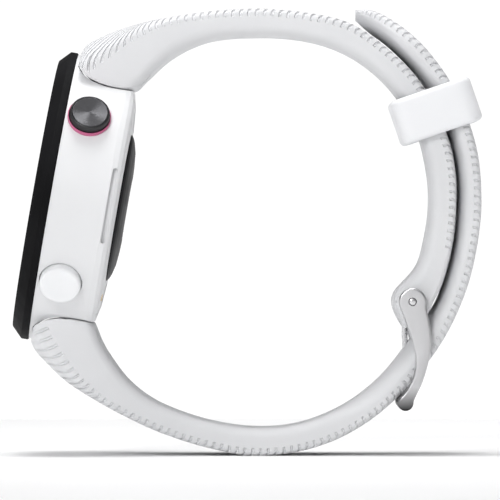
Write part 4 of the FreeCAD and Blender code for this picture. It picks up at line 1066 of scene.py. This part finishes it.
# ------------------------------------------------------------------ head
ident = head
bez = rounded_profile([(15.2, 1.14), (15.2, 0.02), (19.55, 0.02), (19.7, 0.17), (19.7, 1.03), (18.24, 2.45), (16.62, 2.45), (16.56, 2.38), (16.56, 1.15), (15.21, 1.15)],
                      [0, 0.1, 0.0, 0.05, 0.16, 0.16, 0.05, 0.02, 0.05, 0], 4)
lathe("bezel_ring", bez, M["bezel"], "watch", ident, 256, close=True, replaces=("bezel",), slot="bezel_black", sharp=28)


def radial_frame(angle):
    a = math.radians(angle)

    def f(p):
        p = np.atleast_2d(p)
        x, y, z = p[:, 2], p[:, 0], p[:, 1]     # local z runs outwards along the button's axis
        return head(np.c_[x * math.cos(a) - y * math.sin(a), x * math.sin(a) + y * math.cos(a), z + BUTTON_Z])
    return f


BUTTONS = [("start", 35.0, 2.7, 20.80), ("back", -35.0, 2.8, 20.50), ("light", 145.0, 2.8, 20.50), ("up", 180.0, 2.8, 20.25), ("down", 215.0, 2.8, 20.50)]
for name, ang, cr, face in BUTTONS:
    F = radial_frame(ang)
    stem = [(0, 14.3), (0.70, 14.3), (0.79, 14.4), (0.79, 15.02), (0.56, 15.03), (0.56, 15.41), (0.79, 15.42), (0.79, 18.62)]
    if name == "start":
        cap = stem + [(cr - 0.1, 18.62), (cr, 18.72), (cr, face - 0.26), (cr - 0.06, face - 0.10), (cr - 0.20, face - 0.01), (2.47, face), (2.44, face - 0.02), (2.44, face - 0.24), (0, face - 0.24)]
        lathe("start_button_cap", cap, M["button_black"], "start_button_assembly", F, 96, replaces=("start_button",), slot="button_black", sharp=38)
        disc = [(0, face - 0.225), (2.36, face - 0.225), (2.40, face - 0.19), (2.40, face - 0.02), (2.34, face + 0.035)]
        r = 2.30
        while r > 0.16:
            disc += [(r, face + 0.04), (r - 0.03, face + 0.034)]
            r -= 0.085
        disc += [(0.10, face + 0.04), (0, face + 0.04)]
        turned = lathe("start_button_turned_face", disc, M["turned"], None, lambda q: q, 128, sharp=20)
        o0 = F((0, 0, 0))[0]
        ax = [F(q)[0] - o0 for q in ((1, 0, 0), (0, 1, 0), (0, 0, 1))]
        turned.matrix_world = Matrix([[float(ax[j][i]) for j in range(3)] + [float(o0[i]) * MM] for i in range(3)] + [[0, 0, 0, 1]])
        dress(turned, "start_button_assembly", ("start_button_face",))
    else:
        cap = stem + [(cr - 0.12, 18.62), (cr, 18.74), (cr, face - 0.34), (cr - 0.03, face - 0.20), (cr - 0.12, face - 0.08), (cr - 0.26, face - 0.01), (cr - 0.45, face),
                      (cr - 0.9, face - 0.02), (cr * 0.4, face - 0.05), (0, face - 0.06)]
        lathe(name + "_button_cap", cap, M["button_white"], name + "_button_assembly", F, 96, replaces=(name + "_button",), slot="button_white", sharp=38)

sens = rounded_profile([(6.2, -9.35), (6.2, -7.8), (9.2, -7.8), (9.2, -8.92), (10.0, -8.94), (10.0, -9.06), (9.6, -9.34), (9.0, -9.58), (7.7, -9.90), (6.0, -10.06), (4.42, -10.13), (4.3, -10.08), (4.3, -9.36), (6.19, -9.36)],
                       [0, 0.05, 0.05, 0, 0.03, 0.05, 0.12, 0.5, 0.8, 0.8, 0.05, 0.05, 0.02, 0], 4)
lathe("sensor_dome", sens, M["gloss_black"], "watch", ident, 192, close=True, replaces=("sensor_housing",), slot="sensor_black", sharp=28)

# ------------------------------------------------------------------ display: generic hour marks and hands under the lens
def bar_on_dial(ang, r0, r1, w0, w1, z0, z1):
    a = math.radians(90 - ang)
    d, n = np.array([math.cos(a), math.sin(a)]), np.array([-math.sin(a), math.cos(a)])
    q = [d * r0 - n * w0, d * r1 - n * w1, d * r1 + n * w1, d * r0 + n * w0]
    o = head([(p[0], p[1], z0) for p in q])
    return prism(o, head([(0, 0, z1)])[0] - head([(0, 0, z0)])[0], None)


marks = []
for i in range(60):
    if i % 5 == 0:
        marks.append(bar_on_dial(6 * i, 11.2, 13.2, 0.30, 0.30, 1.121, 1.16))
    else:
        marks.append(bar_on_dial(6 * i, 12.5, 13.2, 0.09, 0.09, 1.121, 1.15))
v, f = merge(marks)
build("dial_marks", v, f, M["dial_light"], "watch", slot="display_glass", sharp=20)
v, f = merge([bar_on_dial(305, -1.6, 6.6, 0.42, 0.26, 1.13, 1.18), bar_on_dial(54, -1.8, 10.2, 0.34, 0.18, 1.185, 1.22)])
build("dial_hands", v, f, M["dial_light"], "watch", slot="display_glass", sharp=20)
v, f = merge([bar_on_dial(180, -2.4, 10.6, 0.10, 0.06, 1.225, 1.25)])
build("dial_second_hand", v, f, M["dial_accent"], "watch", slot="accent_pink", sharp=20)

# ------------------------------------------------------------------ CAD nodes that stay: procedural finishes
STAY = dict(main_housing="case", back_cover="case", lens="lens", lens_gasket="seal", display_panel="display", backlight_frame="inner", gps_antenna="ceramic",
            main_board="board", board_shield="steel", battery="foil", battery_tray="inner", vibration_motor="steel", buzzer="brass", back_cover_gasket="seal",
            back_cover_screws="screw", charge_contacts="brass", button_switches="inner", button_accent_ring="pink", sensor_window="sensor_glass",
            sensor_board="board", sensor_leds="led")
for node in NODES:
    if node in STAY:
        key = STAY[node]
    elif node.endswith("_seal"):
        key = "seal"
    elif node.endswith("_clip"):
        key = "steel"
    elif "bar_" in node or "release" in node:
        key = "screw"
    else:
        key = None
    if key:
        ob = NODES[node]
        ob.data.materials.clear()
        ob.data.materials.append(M[key])

# ------------------------------------------------------------------ floor, light, camera
def floor():
    me = bpy.data.meshes.new("floor")
    n, r = 64, 0.25
    bm = bmesh.new()
    rings_ = []
    for q in (0.09, 0.17, r):
        rings_.append([bm.verts.new((q * math.cos(2 * math.pi * i / n), q * math.sin(2 * math.pi * i / n), 0.0)) for i in range(n)])
    bm.faces.new(rings_[0])
    for k in range(2):
        for i in range(n):
            j = (i + 1) % n
            bm.faces.new((rings_[k][i], rings_[k + 1][i], rings_[k + 1][j], rings_[k][j]))
    bmesh.ops.recalc_face_normals(bm, faces=bm.faces)
    bm.to_mesh(me)
    bm.free()
    ob = bpy.data.objects.new("floor", me)
    bpy.context.scene.collection.objects.link(ob)
    me.materials.append(surface("studio_floor", (0.93, 0.93, 0.93), (0.96, 0.96, 0.96), (0.45, 0.55), 60, 3, 0.02, 0.0001, spec=0.3))
    return ob


floor()


def area(name, loc, target, size, power, size_y=None):
    l = bpy.data.lights.new(name, "AREA")
    l.energy = power
    l.size = size
    if size_y:
        l.shape, l.size_y = "RECTANGLE", size_y
    ob = bpy.data.objects.new(name, l)
    ob.location = loc
    ob.rotation_mode = "QUATERNION"
    ob.rotation_quaternion = (Vector(target) - Vector(loc)).to_track_quat("-Z", "Y")
    ob.visible_camera = False
    bpy.context.scene.collection.objects.link(ob)
    return ob


T0 = (0.0, 0.0, 0.032)
key = area("key", (-0.16, -0.42, 0.26), (-0.014, -0.01, 0.052), 0.14, 0.035, 0.12)
key.data.spread = math.radians(26)
area("front", (0.10, -1.15, 0.15), T0, 0.6, 0.25, 0.5)
area("top", (0.0, 0.10, 1.1), (0.0, 0.1, 0.0), 1.6, 8.0, 1.6)
area("overhead", (-0.05, 0.0, 1.1), (0.0, 0.0, 0.0), 0.4, 7.2, 0.4)

# White along the horizon, greyer overhead; a little brighter from the left and dimmer from the right
world = bpy.data.worlds.new("studio")
bpy.context.scene.world = world
world.use_nodes = True
wt = world.node_tree
bg = wt.nodes["Background"]
wc = wt.nodes.new("ShaderNodeTexCoord")
ws = wt.nodes.new("ShaderNodeSeparateXYZ")
wr = wt.nodes.new("ShaderNodeValToRGB")
wt.links.new(wc.outputs["Generated"], ws.inputs[0])
wt.links.new(ws.outputs["Z"], wr.inputs[0])
el = wr.color_ramp.elements
el[0].position, el[0].color = 0.0, (1.0, 1.0, 1.0, 1)
el[1].position, el[1].color = 0.22, (0.16, 0.16, 0.165, 1)
e2 = el.new(0.06)
e2.color = (1.0, 1.0, 1.0, 1)
wt.links.new(wr.outputs[0], bg.inputs[0])
wm = wt.nodes.new("ShaderNodeMapRange")
wm.inputs["From Min"].default_value, wm.inputs["From Max"].default_value = -1.0, 1.0
wt.links.new(ws.outputs["X"], wm.inputs["Value"])
wx = wt.nodes.new("ShaderNodeValToRGB")
ex = wx.color_ramp.elements
ex[0].position, ex[0].color = 0.0, (1.0, 1.0, 1.0, 1)
ex[1].position, ex[1].color = 1.0, (0.60, 0.60, 0.60, 1)
for q, c in ((0.25, 1.0), (0.45, 0.80), (0.56, 0.78), (0.72, 0.64)):
    e = ex.new(q)
    e.color = (c, c, c, 1)
wt.links.new(wm.outputs[0], wx.inputs[0])
wg = wt.nodes.new("ShaderNodeMath")
wg.operation = "MULTIPLY"
wg.inputs[1].default_value = 1.34
wt.links.new(wx.outputs[0], wg.inputs[0])
wt.links.new(wg.outputs[0], bg.inputs[1])

scene = bpy.context.scene
scene.view_settings.view_transform = "Standard"
scene.view_settings.look = "None"
scene.view_settings.exposure = 0.0

cam = bpy.data.cameras.new("camera")
cam.sensor_width = 36
cam.lens = 637.2
cam.clip_start, cam.clip_end = 0.1, 20
cob = bpy.data.objects.new("camera", cam)
cob.location = (0.0005, -1.2, 0.02768)
cob.rotation_euler = (math.pi / 2, 0, 0)
scene.collection.objects.link(cob)
scene.camera = cob
